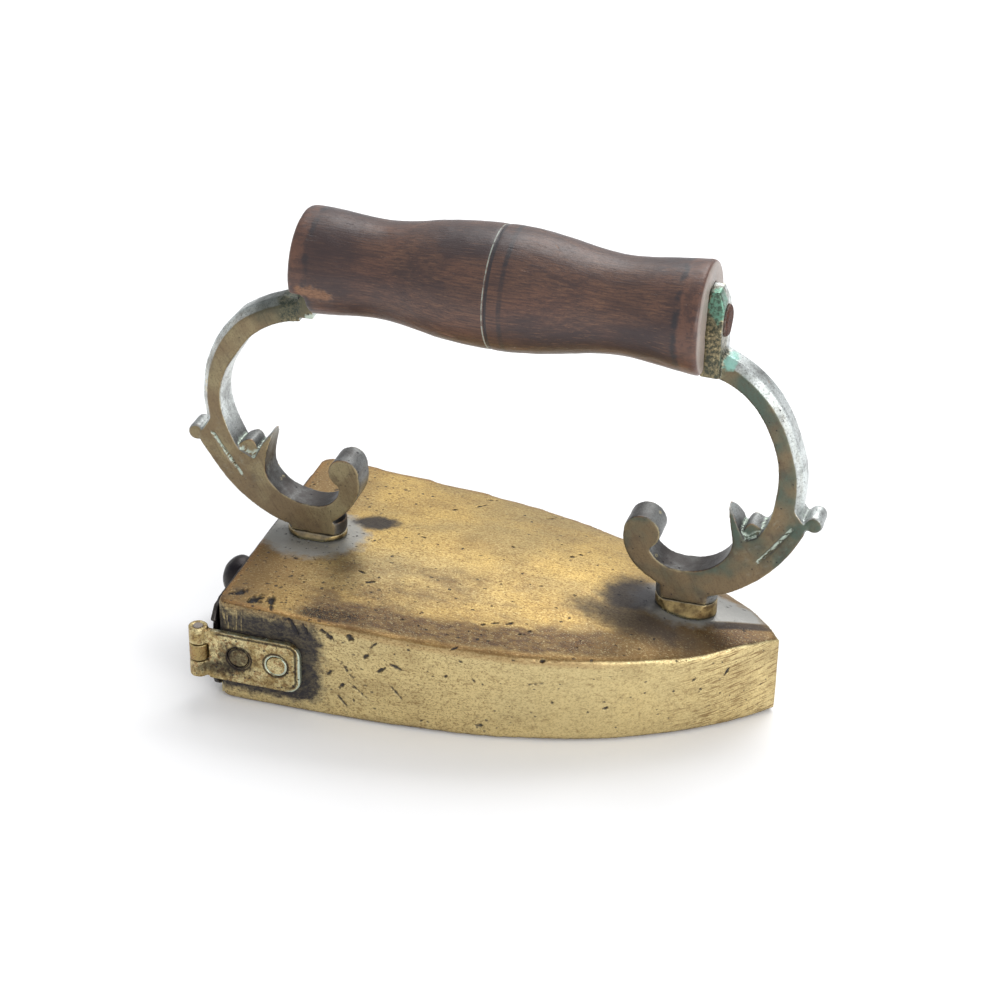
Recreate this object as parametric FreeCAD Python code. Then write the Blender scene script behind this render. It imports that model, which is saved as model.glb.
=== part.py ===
import FreeCAD, Part
import math
import os

from FreeCAD import Vector

# A brass box iron: a hollow boat-shaped body that a hot iron slug slides into,
# a hinged iron door at the heel, and a turned wooden grip on two cast scroll posts.
# +X points to the toe, +Z up, Z = 0 is the sole, Y = 0 is the plane of symmetry
# and X = 0 is below the middle of the grip. Everything is in millimetres.

# ---- driving dimensions: body ----
HEEL_X = -66.1
TOE_X = 80.2
HALF_WIDTH = 42.1
OUTLINE_POWER = 3.35
OUTLINE_BLUNTNESS = 0.9
EDGE_HEIGHT = 27.6
EDGE_SLOPE = -0.057
CROWN = 5.4
CROWN_FADE_POWER = 7
CROWN_MIN_HALF_WIDTH = 16.0
WALL = 2.8
ROOF = 2.3
TOE_WALL = 6.0
CORNER_RADIUS = 3.0
EDGE_RADIUS = 1.1
SOLE_THICKNESS = 3.0
BLOCK_HEIGHT = 45.0
OUTLINE_SHARES = (0.0, 0.2, 0.4, 0.55, 0.7, 0.82, 0.92, 1.0)
TOP_ROWS = 13
TOP_COLUMNS = 7
TOP_OVERHANG = 0.066
TOP_REACH = 1.2

# ---- driving dimensions: grip and posts ----
GRIP_Z = 115.2
GRIP_HALF_LENGTH = 54.6
GRIP_FRONT_OVERHANG = 1.2
GRIP_RIM = 1.8
GRIP_END_RADIUS = {"rear": 14.4, "front": 15.2}
GRIP_PROFILE = [(43.0, 14.0), (31.5, 13.2), (18.0, 15.1), (8.0, 16.4), (0.35, 16.7)]
RING_DEPTH = 0.35
ROD_RADIUS = 4.0
ROD_HEAD_RADIUS = 4.6
ROD_HEAD_RISE = 0.9
ROD_HEAD_TAPER = 0.8
ROD_REAR_INSET = 0.2
ROD_BORE_CLEARANCE = 0.2
POST_HALF_THICKNESS = 4.5
LUG_HALF_WIDTH = 6.0
LUG_THICKNESS = 5.2
LUG_TOP_THICKNESS = 3.6
LUG_BOTTOM_Z = {"rear": 100.2, "front": 100.9}
LUG_SHOULDER_Z = 113.6
LUG_TOP_Z = 124.0
LUG_TOP_HALF_WIDTH = 3.2
SLOT_DEPTH = 4.6
SLOT_CLEARANCE = 0.2
CHIP_TOP_Z = 110.5
FOOT_X = {"rear": 52.3, "front": 53.6}
FOOT_HALF_LENGTH = 8.6
FOOT_HALF_WIDTH = 6.2
FOOT_TOP_Z = 37.4
FOOT_BOTTOM_Z = {"rear": 33.5, "front": 32.3}
PAD_LEAN = {"rear": 0.75, "front": 0.42}
TENON_RADIUS = 4.0
BURR_RADIUS = 7.0
BURR_THICKNESS = 1.6
PEEN_RADIUS = 5.2
PEEN_THICKNESS = 0.7

# ---- driving dimensions: hinge, door and latch ----
PIVOT_X = -70.8
PIVOT_Y = -43.0
BARREL_RADIUS = 2.7
BARREL_BOTTOM_Z = 7.6
BARREL_TOP_Z = 22.8
KNUCKLE_GAP = 0.2
PIN_RADIUS = 1.3
PIN_CLEARANCE = 0.06
STRAP_THICKNESS = 1.8
STRAP_TOE_X = -41.3
STRAP_BOTTOM_Z = 7.0
STRAP_TOP_Z = 22.2
STRAP_CORNER_RADIUS = 4.0
RIVET_PLACES = ((-59.2, 15.2), (-48.0, 14.6))
RIVET_HEAD_RADIUS = 3.0
RIVET_SHANK_RADIUS = 1.9
RIVET_HEAD_DEPTH = 1.0
RIVET_TAIL_GAP = 0.15
RIVET_TAIL_DEPTH = 0.85
DOOR_GAP = 0.25
DOOR_THICKNESS = 1.6
DOOR_NEAR_Y = -41.9
DOOR_FAR_Y = 41.0
DOOR_BOTTOM_Z = 1.2
DOOR_TOP_Z = 28.0
DOOR_CORNER_RADIUS = 6.0
BARREL_CLEARANCE = 0.3
NOTCH_CLEARANCE = 0.5
LEAF_THICKNESS = 1.5
LEAF_FAR_Y = -20.0
LEAF_RIVET_Y = (-34.0, -25.5)
LEAF_RIVET_RADIUS = 1.3
LEAF_HEAD_RADIUS = 1.9
LEAF_HEAD_HEIGHT = 0.6
LATCH_Z = 11.8
KNOB_TIP_X = -80.7
KNOB_RADIUS = 6.4
KNOB_PROFILE = ((0.0, 0.66), (0.2, 0.53), (0.42, 0.86), (0.62, 1.0), (0.84, 0.84), (1.0, 0.45))
SPINDLE_RADIUS = 2.0
SPINDLE_CLEARANCE = 0.08
SPINDLE_SHARE = 0.7
SHOULDER_RADIUS = 3.6
SPINDLE_BURR_RADIUS = 3.2
TURN_GAP = 0.1
LATCH_GAP = 0.3
KEEPER_THICKNESS = 2.0
KEEPER_SETBACK = 1.1
KEEPER_HALF_WIDTH = 9.0
KEEPER_BOTTOM_Z = 25.6
BAR_THICKNESS = 2.0
BAR_HALF_WIDTH = 3.2
BAR_REACH = 15.9
BAR_TAIL = 4.5
BAR_CORNER_RADIUS = 1.9
BAR_BURR_THICKNESS = 1.0
WASHER_RADIUS = 6.0
WASHER_THICKNESS = 1.0

# ---- driving dimensions: slug ----
RIB_HEIGHT = 1.6
RIB_HALF_WIDTH = 2.0
RIB_HALF_LENGTH = 40.0
RIB_Y = (-14.0, 14.0)
SLUG_REAR_X = -56.0
SLUG_TOE_X = 66.0
SLUG_SIDE_GAP = 2.0
SLUG_TOP_Z = 18.2
SLUG_HOLE_X = -46.0
SLUG_HOLE_RADIUS = 4.5
SLUG_CORNER_RADIUS = 4.0

# The posts as seen from the side: distance out from the middle of the grip, and height.
# They were cast from two hand-made patterns, so their outlines differ a little.
BAND_INNER = {
    "front": [(54.6, 100.8), (60.4, 99.8), (64.7, 97.7), (69.2, 93.5), (73.1, 87.3),
              (75.6, 80.7), (76.6, 73.8), (76.4, 69.0), (75.3, 62.5), (72.0, 55.5)],
    "rear": [(54.6, 98.1), (58.9, 97.2), (63.5, 95.3), (68.2, 91.9), (73.0, 85.7),
             (76.6, 79.5), (78.3, 73.5), (78.2, 68.5), (77.0, 63.8), (73.5, 56.0)],
}
BAND_OUTER = {
    "front": [(83.1, 63.6), (83.7, 70.0), (83.3, 76.0), (81.5, 83.0), (78.2, 91.0),
              (73.4, 98.0), (66.4, 104.0), (60.2, 107.0)],
    "rear": [(83.2, 62.4), (84.3, 70.0), (83.7, 78.0), (81.2, 85.8), (77.6, 92.2),
             (73.0, 97.4), (67.0, 101.3), (59.8, 104.4)],
}
SCROLL_OUTER = {
    "front": [(36.2, 51.6), (36.4, 47.3), (38.8, 42.2), (44.5, 37.6), (53.0, 34.6),
              (62.0, 35.6), (71.2, 40.8), (77.6, 47.0), (81.6, 52.7), (84.6, 58.6)],
    "rear": [(38.5, 53.0), (38.3, 49.6), (40.0, 44.8), (43.5, 40.2), (49.0, 36.3),
             (56.0, 34.5), (66.2, 37.4), (74.8, 43.5), (80.6, 50.1), (85.0, 56.6)],
}
HOLLOW = {
    "front": [(65.6, 52.0), (64.4, 48.4), (61.7, 45.2), (58.0, 43.0), (53.0, 42.0),
              (48.2, 42.6), (45.0, 44.8), (43.3, 47.8)],
    "rear": [(65.8, 52.0), (65.0, 48.4), (61.4, 44.6), (57.0, 42.8), (52.0, 42.2),
             (48.0, 43.2), (45.4, 45.8), (44.6, 48.8)],
}
BUD_NECK = {"front": [(84.6, 58.6), (84.6, 61.6), (83.1, 63.6)],
            "rear": [(85.0, 56.6), (84.6, 60.2), (83.2, 62.4)]}
CURL_CENTRE = {"front": (41.3, 51.5), "rear": (43.0, 53.6)}
CURL_RADIUS = {"front": 5.1, "rear": 4.5}
BUD_CENTRE = {"front": (86.8, 61.9), "rear": (86.4, 58.9)}
BUD_RADIUS = 2.5
BUD_HALF_LENGTH = 4.1
BUD_ROUNDING = 1.2
THORN_INNER = [(65.7, 48.5), (65.7, 53.5), (64.9, 57.6), (63.4, 63.2)]
THORN_OUTER = [(63.4, 63.2), (65.2, 61.4), (67.2, 58.0), (69.4, 53.5)]
THORN_OGIVE_BASE_Z = 54.5
THORN_BULGE = (0.84, 0.58)
THORN_ROOT_Z = 45.0
NIB_OUTLINE = [(67.6, 53.0), (68.4, 57.2), (70.1, 59.3), (72.0, 58.9), (74.4, 56.5)]
NIB_INSET = 1.0
LEAF_VEIN = [(83.4, 62.4), (80.6, 60.0), (74.6, 51.4), (69.6, 44.6), (76.2, 51.4)]
VEIN_DEPTH = 0.9
BAND_CHAMFER = 2.2

# How far an edge may lie from where it is looked for, and how far cutting blocks reach.
NEAR = 0.1
FAR = 60.0


# ---- helpers ----
def box(x0, x1, y0, y1, z0, z1):
    return Part.makeBox(x1 - x0, y1 - y0, z1 - z0, Vector(x0, y0, z0))


def rod(radius, start, end):
    """A round bar from one point to another."""
    axis = end - start
    return Part.makeCylinder(radius, axis.Length, start, axis)


def curve(points):
    """One smooth edge through the points."""
    spline = Part.BSplineCurve()
    spline.interpolate(points)
    return spline.toShape()


def prism(edges, travel):
    """A solid from a closed chain of edges, pushed along a vector."""
    wire = Part.Wire(Part.__sortEdges__(edges))
    return Part.Face(wire).extrude(travel)


def polygon(points):
    """The straight edges that join the points in turn and close the loop."""
    return list(Part.makePolygon(list(points) + [points[0]]).Edges)


def side_points(points, y):
    """Points of a side view placed in the plane at y."""
    return [Vector(p, y, z) for p, z in points]


def whole(shape):
    """One clean solid out of a boolean result."""
    return shape.removeSplitter().Solids[0]


def mirrored(shape):
    return shape.mirror(Vector(0, 0, 0), Vector(1, 0, 0))


# ---- body ----
def half_width(x, heel, toe, width):
    along = min(max((x - heel) / (toe - heel), 0.0), 1.0)
    return width * (1.0 - along ** OUTLINE_POWER) ** OUTLINE_BLUNTNESS


def boat(heel, toe, width, z0, z1):
    """The flat-iron outline, square at the heel and nearly pointed at the toe."""
    stations = [heel + share * (toe - heel) for share in OUTLINE_SHARES]
    right = [Vector(x, -half_width(x, heel, toe, width), z0) for x in stations]
    left = [Vector(p.x, -p.y, p.z) for p in right]
    edges = [curve(right), curve(left), Part.makeLine(right[0], left[0])]
    return prism(edges, Vector(0, 0, z1 - z0))


def edge_z(x):
    return EDGE_HEIGHT + EDGE_SLOPE * x


def crown(x):
    along = (x - HEEL_X) / (TOE_X - HEEL_X)
    inside = min(max(along, 0.0), 1.0)
    return CROWN * inside * (2.0 - inside) * (1.0 - inside ** CROWN_FADE_POWER)


def above_top():
    """Everything above the crowned top surface."""
    rows = []
    for i in range(TOP_ROWS):
        along = -TOP_OVERHANG + (1.0 + 2.0 * TOP_OVERHANG) * i / (TOP_ROWS - 1)
        x = HEEL_X + (TOE_X - HEEL_X) * along
        reach = max(half_width(x, HEEL_X, TOE_X, HALF_WIDTH), CROWN_MIN_HALF_WIDTH)
        row = []
        for j in range(TOP_COLUMNS):
            share = TOP_REACH * (2.0 * j / (TOP_COLUMNS - 1) - 1.0)
            row.append(Vector(x, share * reach, edge_z(x) + crown(x) * (1.0 - share * share)))
        rows.append(row)
    surface = Part.BSplineSurface()
    surface.interpolate(rows)
    return surface.toShape().extrude(Vector(0, 0, FAR))


def above_ceiling():
    """Everything above the sloping flat ceiling of the slug chamber."""
    corners = []
    for x in (HEEL_X - FAR, TOE_X + FAR):
        corners.append(Vector(x, -FAR, edge_z(x) - ROOF))
    corners += [corners[1] + Vector(0, 0, FAR), corners[0] + Vector(0, 0, FAR)]
    return prism(polygon(corners), Vector(0, 2 * FAR, 0))


def below_ceiling(shape):
    return shape.cut(above_ceiling())


def body_block():
    """The outer form of the body, solid, with worn edges."""
    block = boat(HEEL_X, TOE_X, HALF_WIDTH, 0, BLOCK_HEIGHT).cut(above_top())
    corners = [e for e in block.Edges
               if abs(e.CenterOfMass.x - HEEL_X) < NEAR and abs(abs(e.CenterOfMass.y) - HALF_WIDTH) < NEAR]
    block = block.makeFillet(CORNER_RADIUS, corners)
    return whole(block)


def soften(block):
    """Rounds the long bottom edges of the body."""
    low = [e for e in block.Edges if e.BoundBox.ZMax < NEAR and e.BoundBox.XMax > HEEL_X + NEAR]
    return whole(block.makeFillet(EDGE_RADIUS, low))


def chamber():
    """The hollow for the slug, open at the heel and below."""
    hollow = boat(HEEL_X, TOE_X - TOE_WALL, HALF_WIDTH - WALL, -NEAR, BLOCK_HEIGHT)
    mouth = box(HEEL_X - NEAR, HEEL_X, -HALF_WIDTH + WALL, HALF_WIDTH - WALL, -NEAR, BLOCK_HEIGHT)
    return below_ceiling(hollow.fuse(mouth))


def make_box_casting():
    casting = soften(body_block()).cut(chamber())
    for end in FOOT_X:
        casting = casting.cut(tenon_bore(end))
    for x, z in RIVET_PLACES:
        casting = casting.cut(rod(RIVET_SHANK_RADIUS, Vector(x, -FAR, z), Vector(x, 0, z)))
    return whole(casting)


def make_sole_plate():
    return boat(HEEL_X, TOE_X - TOE_WALL, HALF_WIDTH - WALL, 0, SOLE_THICKNESS)


def make_slug_rest_ribs():
    top = SOLE_THICKNESS + RIB_HEIGHT
    ribs = [box(-RIB_HALF_LENGTH, RIB_HALF_LENGTH, y - RIB_HALF_WIDTH, y + RIB_HALF_WIDTH,
                SOLE_THICKNESS, top) for y in RIB_Y]
    return Part.Compound(ribs)


# ---- posts ----
def oval(x, z0, z1):
    """An upright oval block, as large as the foot of a post."""
    ring = Part.Ellipse(Vector(x, 0, z0), FOOT_HALF_LENGTH, FOOT_HALF_WIDTH).toShape()
    return prism([ring], Vector(0, 0, z1 - z0))


def foot_x(end):
    return FOOT_X[end] if end == "front" else -FOOT_X[end]


def tenon_bore(end):
    return rod(TENON_RADIUS, Vector(foot_x(end), 0, SLUG_TOP_Z), Vector(foot_x(end), 0, FAR))


def post_blade(end):
    """The C-scroll and the band above it, one flat thickness."""
    y = -POST_HALF_THICKNESS
    inner, outer = BAND_INNER[end], BAND_OUTER[end]
    hollow, scroll = HOLLOW[end], SCROLL_OUTER[end]
    edges = [curve(side_points(points, y)) for points in (inner, hollow, scroll, outer)]
    root = [inner[-1], hollow[0]]
    tie = [hollow[-1], CURL_CENTRE[end], scroll[0]]
    top = [outer[-1], (GRIP_HALF_LENGTH, outer[-1][1]), inner[0]]
    for points in (root, tie, top, BUD_NECK[end]):
        edges += list(Part.makePolygon(side_points(points, y)).Edges)
    blade = prism(edges, Vector(0, 2 * POST_HALF_THICKNESS, 0))
    bevelled = [e for e in blade.Edges if is_long_edge(e, outer)]
    return whole(blade.makeChamfer(BAND_CHAMFER, bevelled))


def is_long_edge(edge, outline):
    """True for the two edges along an outline, one on each face of the blade."""
    if len(edge.Vertexes) != 2 or abs(abs(edge.CenterOfMass.y) - POST_HALF_THICKNESS) > NEAR:
        return False
    heights = sorted(v.Z for v in edge.Vertexes)
    return abs(heights[0] - outline[0][1]) < NEAR and abs(heights[1] - outline[-1][1]) < NEAR


def thorn():
    """The pointed leaf that stands up inside the post, narrowed to a finger-nail tip."""
    y = -POST_HALF_THICKNESS
    edges = [curve(side_points(THORN_INNER, y)), curve(side_points(THORN_OUTER, y))]
    edges.append(Part.makeLine(*side_points([THORN_OUTER[-1], THORN_INNER[0]], y)))
    leaf = prism(edges, Vector(0, 2 * POST_HALF_THICKNESS, 0))
    return leaf.common(thorn_front())


def thorn_front():
    """The thorn's outline as seen from the toe: straight sides that curve in to a point."""
    x = THORN_INNER[-1][0] - POST_HALF_THICKNESS
    half_y = POST_HALF_THICKNESS
    out, up = THORN_BULGE
    tip = Vector(x, 0, THORN_INNER[-1][1] + NEAR)
    bulge_z = THORN_OGIVE_BASE_Z + up * (tip.z - THORN_OGIVE_BASE_Z)
    edges = []
    for side in (-half_y, half_y):
        foot = Vector(x, side, THORN_OGIVE_BASE_Z)
        edges.append(Part.Arc(foot, Vector(x, side * out, bulge_z), tip).toShape())
        edges.append(Part.makeLine(foot, Vector(x, side, THORN_ROOT_Z)))
    edges.append(Part.makeLine(Vector(x, -half_y, THORN_ROOT_Z), Vector(x, half_y, THORN_ROOT_Z)))
    return prism(edges, Vector(4 * half_y, 0, 0))


def nib():
    """The smaller lobe between the thorn and the band."""
    reach = POST_HALF_THICKNESS - NIB_INSET
    edges = [curve(side_points(NIB_OUTLINE, -reach))]
    edges.append(Part.makeLine(*side_points([NIB_OUTLINE[-1], NIB_OUTLINE[0]], -reach)))
    return prism(edges, Vector(0, 2 * reach, 0))


def vein_cuts():
    """The incised line between leaf and band, on both faces."""
    cuts = []
    for y0 in (-POST_HALF_THICKNESS - 1, POST_HALF_THICKNESS - VEIN_DEPTH):
        edges = polygon(side_points(LEAF_VEIN, y0))
        cuts.append(prism(edges, Vector(0, VEIN_DEPTH + 1, 0)))
    return cuts


def across(centre, radius, half_length):
    """A round bar through the thickness of the post."""
    x, z = centre
    return rod(radius, Vector(x, -half_length, z), Vector(x, half_length, z))


def bud(end):
    """The round-ended drop where leaf and band part."""
    bar = across(BUD_CENTRE[end], BUD_RADIUS, BUD_HALF_LENGTH)
    rims = [e for e in bar.Edges if abs(abs(e.CenterOfMass.y) - BUD_HALF_LENGTH) < NEAR]
    return bar.makeFillet(BUD_ROUNDING, rims)


def lug_prism(half, x, length):
    """A symmetrical upright plate; half lists its corners on the +Y side, lowest first."""
    points = [Vector(x, y, z) for y, z in half]
    points += [Vector(x, -y, z) for y, z in reversed(half)]
    return prism(polygon(points), Vector(length, 0, 0))


def lug(end):
    """The upright plate that holds the rod, let into the grip: shallowly in front, deep at the rear."""
    half = [(LUG_HALF_WIDTH, LUG_BOTTOM_Z[end]), (LUG_HALF_WIDTH, LUG_SHOULDER_Z),
            (LUG_TOP_HALF_WIDTH, LUG_TOP_Z)]
    if end == "rear":
        inner_x = GRIP_HALF_LENGTH - SLOT_DEPTH + SLOT_CLEARANCE
        return lug_prism(half, inner_x, GRIP_HALF_LENGTH - inner_x)
    low_x = GRIP_HALF_LENGTH + LUG_THICKNESS
    top_x = GRIP_HALF_LENGTH + LUG_TOP_THICKNESS
    lean = [(low_x, GRIP_Z + ROD_HEAD_RADIUS), (low_x, LUG_TOP_Z + NEAR),
            (top_x, LUG_TOP_Z + NEAR), (top_x, LUG_TOP_Z)]
    sliver = prism(polygon(side_points(lean, -LUG_HALF_WIDTH)), Vector(0, 2 * LUG_HALF_WIDTH, 0))
    return lug_prism(half, GRIP_HALF_LENGTH, LUG_THICKNESS).cut(sliver)


def make_post(end):
    """One cast post with its lug, foot and the tenon that goes through the top of the body."""
    x = FOOT_X[end]
    foot_bottom = FOOT_BOTTOM_Z[end]
    post = post_blade(end)
    curl = across(CURL_CENTRE[end], CURL_RADIUS[end], POST_HALF_THICKNESS)
    for piece in (thorn(), nib(), curl, bud(end)):
        post = post.fuse(piece)
    for cut in vein_cuts():
        post = post.cut(cut)
    post = post.fuse(lug(end)).fuse(foot(x, foot_bottom))
    burr_bottom = burr_bottom_z(end)
    post = post.fuse(rod(TENON_RADIUS, Vector(x, 0, burr_bottom), Vector(x, 0, foot_bottom + 1)))
    post = post.fuse(rod(PEEN_RADIUS, Vector(x, 0, burr_bottom - PEEN_THICKNESS), Vector(x, 0, burr_bottom)))
    post = whole(post.cut(rod(ROD_RADIUS, Vector(0, 0, GRIP_Z), Vector(2 * GRIP_HALF_LENGTH, 0, GRIP_Z))))
    return post if end == "front" else mirrored(post)


def burr_bottom_z(end):
    """Underside of the washer inside the chamber, below the sloping ceiling."""
    x = foot_x(end)
    return min(edge_z(x - BURR_RADIUS), edge_z(x + BURR_RADIUS)) - ROOF - BURR_THICKNESS


def foot(x, bottom):
    """The oval block below the scroll, cut flat in the planes of the blade's faces."""
    half_y = POST_HALF_THICKNESS
    slab = box(x - FOOT_HALF_LENGTH, x + FOOT_HALF_LENGTH, -half_y, half_y, bottom, FOOT_TOP_Z)
    return oval(x, bottom, FOOT_TOP_Z).common(slab)


def make_pad(end):
    """The oval collar between a post's foot and the crowned top, leaning out below the foot."""
    x = foot_x(end)
    top = FOOT_BOTTOM_Z[end]
    root = SOLE_THICKNESS
    low_y = POST_HALF_THICKNESS + (top - root) * PAD_LEAN[end]
    corners = [(-low_y, root), (low_y, root), (POST_HALF_THICKNESS, top), (-POST_HALF_THICKNESS, top)]
    wedge = prism(polygon([Vector(x - FOOT_HALF_LENGTH, y, z) for y, z in corners]),
                  Vector(2 * FOOT_HALF_LENGTH, 0, 0))
    return whole(oval(x, root, top).common(wedge).common(above_top()).cut(tenon_bore(end)))


def make_burr(end):
    """The washer that the tenon is hammered over inside the chamber."""
    bottom = burr_bottom_z(end)
    x = foot_x(end)
    ring = rod(BURR_RADIUS, Vector(x, 0, bottom), Vector(x, 0, EDGE_HEIGHT + CROWN))
    return whole(below_ceiling(ring.cut(tenon_bore(end))))


# ---- grip ----
def grip_length(end):
    """From the middle of the grip to one of its ends."""
    return GRIP_HALF_LENGTH + (GRIP_FRONT_OVERHANG if end == "front" else 0.0)


def grip_half_outline(end, side):
    """The edges of one half of the grip's outline, from its middle ring to the axis at its end."""
    length, radius = grip_length(end), GRIP_END_RADIUS[end]
    profile = [(length - GRIP_RIM, radius)] + GRIP_PROFILE
    points = [Vector(side * x, 0, GRIP_Z + r) for x, r in profile]
    corner = Vector(side * length, 0, GRIP_Z + radius - GRIP_RIM)
    lean = GRIP_RIM * (1.0 - math.sqrt(0.5))
    middle = Vector(side * (length - lean), 0, GRIP_Z + radius - lean)
    ring_bottom = Vector(0, 0, points[-1].z - RING_DEPTH)
    return [curve(points), Part.makeLine(points[-1], ring_bottom),
            Part.Arc(points[0], middle, corner).toShape(),
            Part.makeLine(corner, Vector(corner.x, 0, GRIP_Z))]


def make_grip():
    """The turned wooden grip: two necks, a belly and one fine ring round the middle."""
    edges = grip_half_outline("rear", -1) + grip_half_outline("front", 1)
    rear, front = Vector(-grip_length("rear"), 0, GRIP_Z), Vector(grip_length("front"), 0, GRIP_Z)
    edges.append(Part.makeLine(rear, front))
    face = Part.Face(Part.Wire(Part.__sortEdges__(edges)))
    grip = face.revolve(Vector(0, 0, GRIP_Z), Vector(1, 0, 0), 360)
    bore = rod(ROD_RADIUS + ROD_BORE_CLEARANCE, Vector(-FAR, 0, GRIP_Z), Vector(FAR, 0, GRIP_Z))
    rear_slot = lug_slot(-GRIP_HALF_LENGTH - 1, SLOT_DEPTH + 1)
    front_seat = lug_slot(GRIP_HALF_LENGTH, GRIP_FRONT_OVERHANG + 1)
    return whole(grip.cut(bore).cut(rear_slot).cut(front_seat).cut(rear_chip()))


def lug_slot(x, length):
    """A slot in one end of the grip that a lug sits in, open below."""
    half = [(LUG_HALF_WIDTH + SLOT_CLEARANCE, GRIP_Z - FAR),
            (LUG_HALF_WIDTH + SLOT_CLEARANCE, LUG_SHOULDER_Z + SLOT_CLEARANCE),
            (LUG_TOP_HALF_WIDTH + SLOT_CLEARANCE, LUG_TOP_Z + SLOT_CLEARANCE)]
    return lug_prism(half, x, length)


def rear_chip():
    """The near lower corner of the grip that has split away and bares the rear lug."""
    x = -GRIP_HALF_LENGTH
    return box(x - 1, x + SLOT_DEPTH - SLOT_CLEARANCE, -FAR, 0, GRIP_Z - FAR, CHIP_TOP_Z)


def make_grip_rod():
    """The iron rod through grip and lugs: flush at the rear, hammered over in front."""
    rear = -GRIP_HALF_LENGTH + ROD_REAR_INSET
    front = GRIP_HALF_LENGTH + LUG_THICKNESS
    bar = rod(ROD_RADIUS, Vector(rear, 0, GRIP_Z), Vector(front, 0, GRIP_Z))
    head = Part.makeCone(ROD_HEAD_RADIUS, ROD_HEAD_RADIUS * ROD_HEAD_TAPER, ROD_HEAD_RISE,
                         Vector(front, 0, GRIP_Z), Vector(1, 0, 0))
    return whole(bar.fuse(head))


# ---- hinge ----
def knuckle_limits(index):
    """Bottom and top height of one of the three knuckles, lowest first."""
    height = (BARREL_TOP_Z - BARREL_BOTTOM_Z - 2 * KNUCKLE_GAP) / 3.0
    bottom = BARREL_BOTTOM_Z + index * (height + KNUCKLE_GAP)
    return bottom, bottom + height


def upright(radius, z0, z1):
    """A round bar on the hinge axis."""
    return rod(radius, Vector(PIVOT_X, PIVOT_Y, z0), Vector(PIVOT_X, PIVOT_Y, z1))


def make_strap():
    """The plate on the near wall, bent into the top and bottom knuckles."""
    outer_y = -HALF_WIDTH - STRAP_THICKNESS
    plate = box(PIVOT_X, STRAP_TOE_X, outer_y, -HALF_WIDTH, STRAP_BOTTOM_Z, STRAP_TOP_Z)
    corners = [e for e in plate.Edges
               if abs(e.CenterOfMass.x - STRAP_TOE_X) < NEAR and e.BoundBox.ZLength < NEAR < e.BoundBox.YLength]
    strap = plate.makeFillet(STRAP_CORNER_RADIUS, corners)
    middle_bottom, middle_top = knuckle_limits(1)
    notch_x = PIVOT_X + BARREL_RADIUS + BARREL_CLEARANCE
    for z0, z1 in ((0, BARREL_BOTTOM_Z), (middle_bottom - KNUCKLE_GAP, middle_top + KNUCKLE_GAP)):
        strap = strap.cut(box(PIVOT_X - FAR, notch_x, -FAR, 0, z0, z1))
    for index in (0, 2):
        strap = strap.fuse(upright(BARREL_RADIUS, *knuckle_limits(index)))
    strap = strap.cut(upright(PIN_RADIUS, 0, FAR))
    strap = strap.cut(body_block())
    for x, z in RIVET_PLACES:
        strap = strap.cut(strap_rivet(x, z))
    return whole(strap)


def strap_rivet(x, z):
    outer_y = -HALF_WIDTH - STRAP_THICKNESS
    inner_y = -HALF_WIDTH + WALL
    tail_y = inner_y + RIVET_TAIL_GAP
    head = rod(RIVET_HEAD_RADIUS, Vector(x, outer_y, z), Vector(x, outer_y + RIVET_HEAD_DEPTH, z))
    shank = rod(RIVET_SHANK_RADIUS, Vector(x, outer_y, z), Vector(x, tail_y, z))
    tail = rod(RIVET_HEAD_RADIUS, Vector(x, tail_y, z), Vector(x, tail_y + RIVET_TAIL_DEPTH, z))
    return whole(head.fuse(shank).fuse(tail))


def make_strap_rivets():
    return Part.Compound([strap_rivet(x, z) for x, z in RIVET_PLACES])


def make_hinge_pin():
    return upright(PIN_RADIUS, BARREL_BOTTOM_Z, BARREL_TOP_Z)


# ---- door ----
def door_outer_x():
    return HEEL_X - DOOR_GAP - DOOR_THICKNESS


def make_door_plate():
    inner_x = HEEL_X - DOOR_GAP
    plate = box(door_outer_x(), inner_x, DOOR_NEAR_Y, DOOR_FAR_Y, DOOR_BOTTOM_Z, DOOR_TOP_Z)
    corners = [e for e in plate.Edges if abs(e.BoundBox.XLength - DOOR_THICKNESS) < NEAR]
    plate = plate.makeFillet(DOOR_CORNER_RADIUS, corners)
    clear_y = PIVOT_Y + BARREL_RADIUS + BARREL_CLEARANCE
    plate = plate.cut(box(HEEL_X - FAR, 0, -FAR, clear_y,
                          STRAP_BOTTOM_Z - NOTCH_CLEARANCE, BARREL_TOP_Z + NOTCH_CLEARANCE))
    plate = plate.cut(x_rod(SPINDLE_RADIUS + SPINDLE_CLEARANCE, HEEL_X - FAR, 0))
    for y in LEAF_RIVET_Y:
        plate = plate.cut(leaf_rivet(y))
    return whole(plate)


def leaf_height():
    bottom, top = knuckle_limits(1)
    return (bottom + top) / 2.0


def leaf_rivet(y):
    z = leaf_height()
    outer = door_outer_x() - LEAF_THICKNESS
    tip = Vector(outer - LEAF_HEAD_HEIGHT, y, z)
    shank = rod(LEAF_RIVET_RADIUS, tip, Vector(HEEL_X - DOOR_GAP, y, z))
    head = rod(LEAF_HEAD_RADIUS, tip, Vector(outer, y, z))
    return whole(shank.fuse(head))


def make_leaf_rivets():
    return Part.Compound([leaf_rivet(y) for y in LEAF_RIVET_Y])


def make_door_leaf():
    """The brass leaf riveted to the outside of the door, rolled into the middle knuckle."""
    bottom, top = knuckle_limits(1)
    outer = door_outer_x() - LEAF_THICKNESS
    leaf = box(outer, door_outer_x(), PIVOT_Y, LEAF_FAR_Y, bottom, top)
    leaf = leaf.fuse(upright(BARREL_RADIUS, bottom, top))
    leaf = leaf.cut(upright(PIN_RADIUS + PIN_CLEARANCE, 0, FAR))
    for y in LEAF_RIVET_Y:
        leaf = leaf.cut(leaf_rivet(y))
    return whole(leaf)


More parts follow.
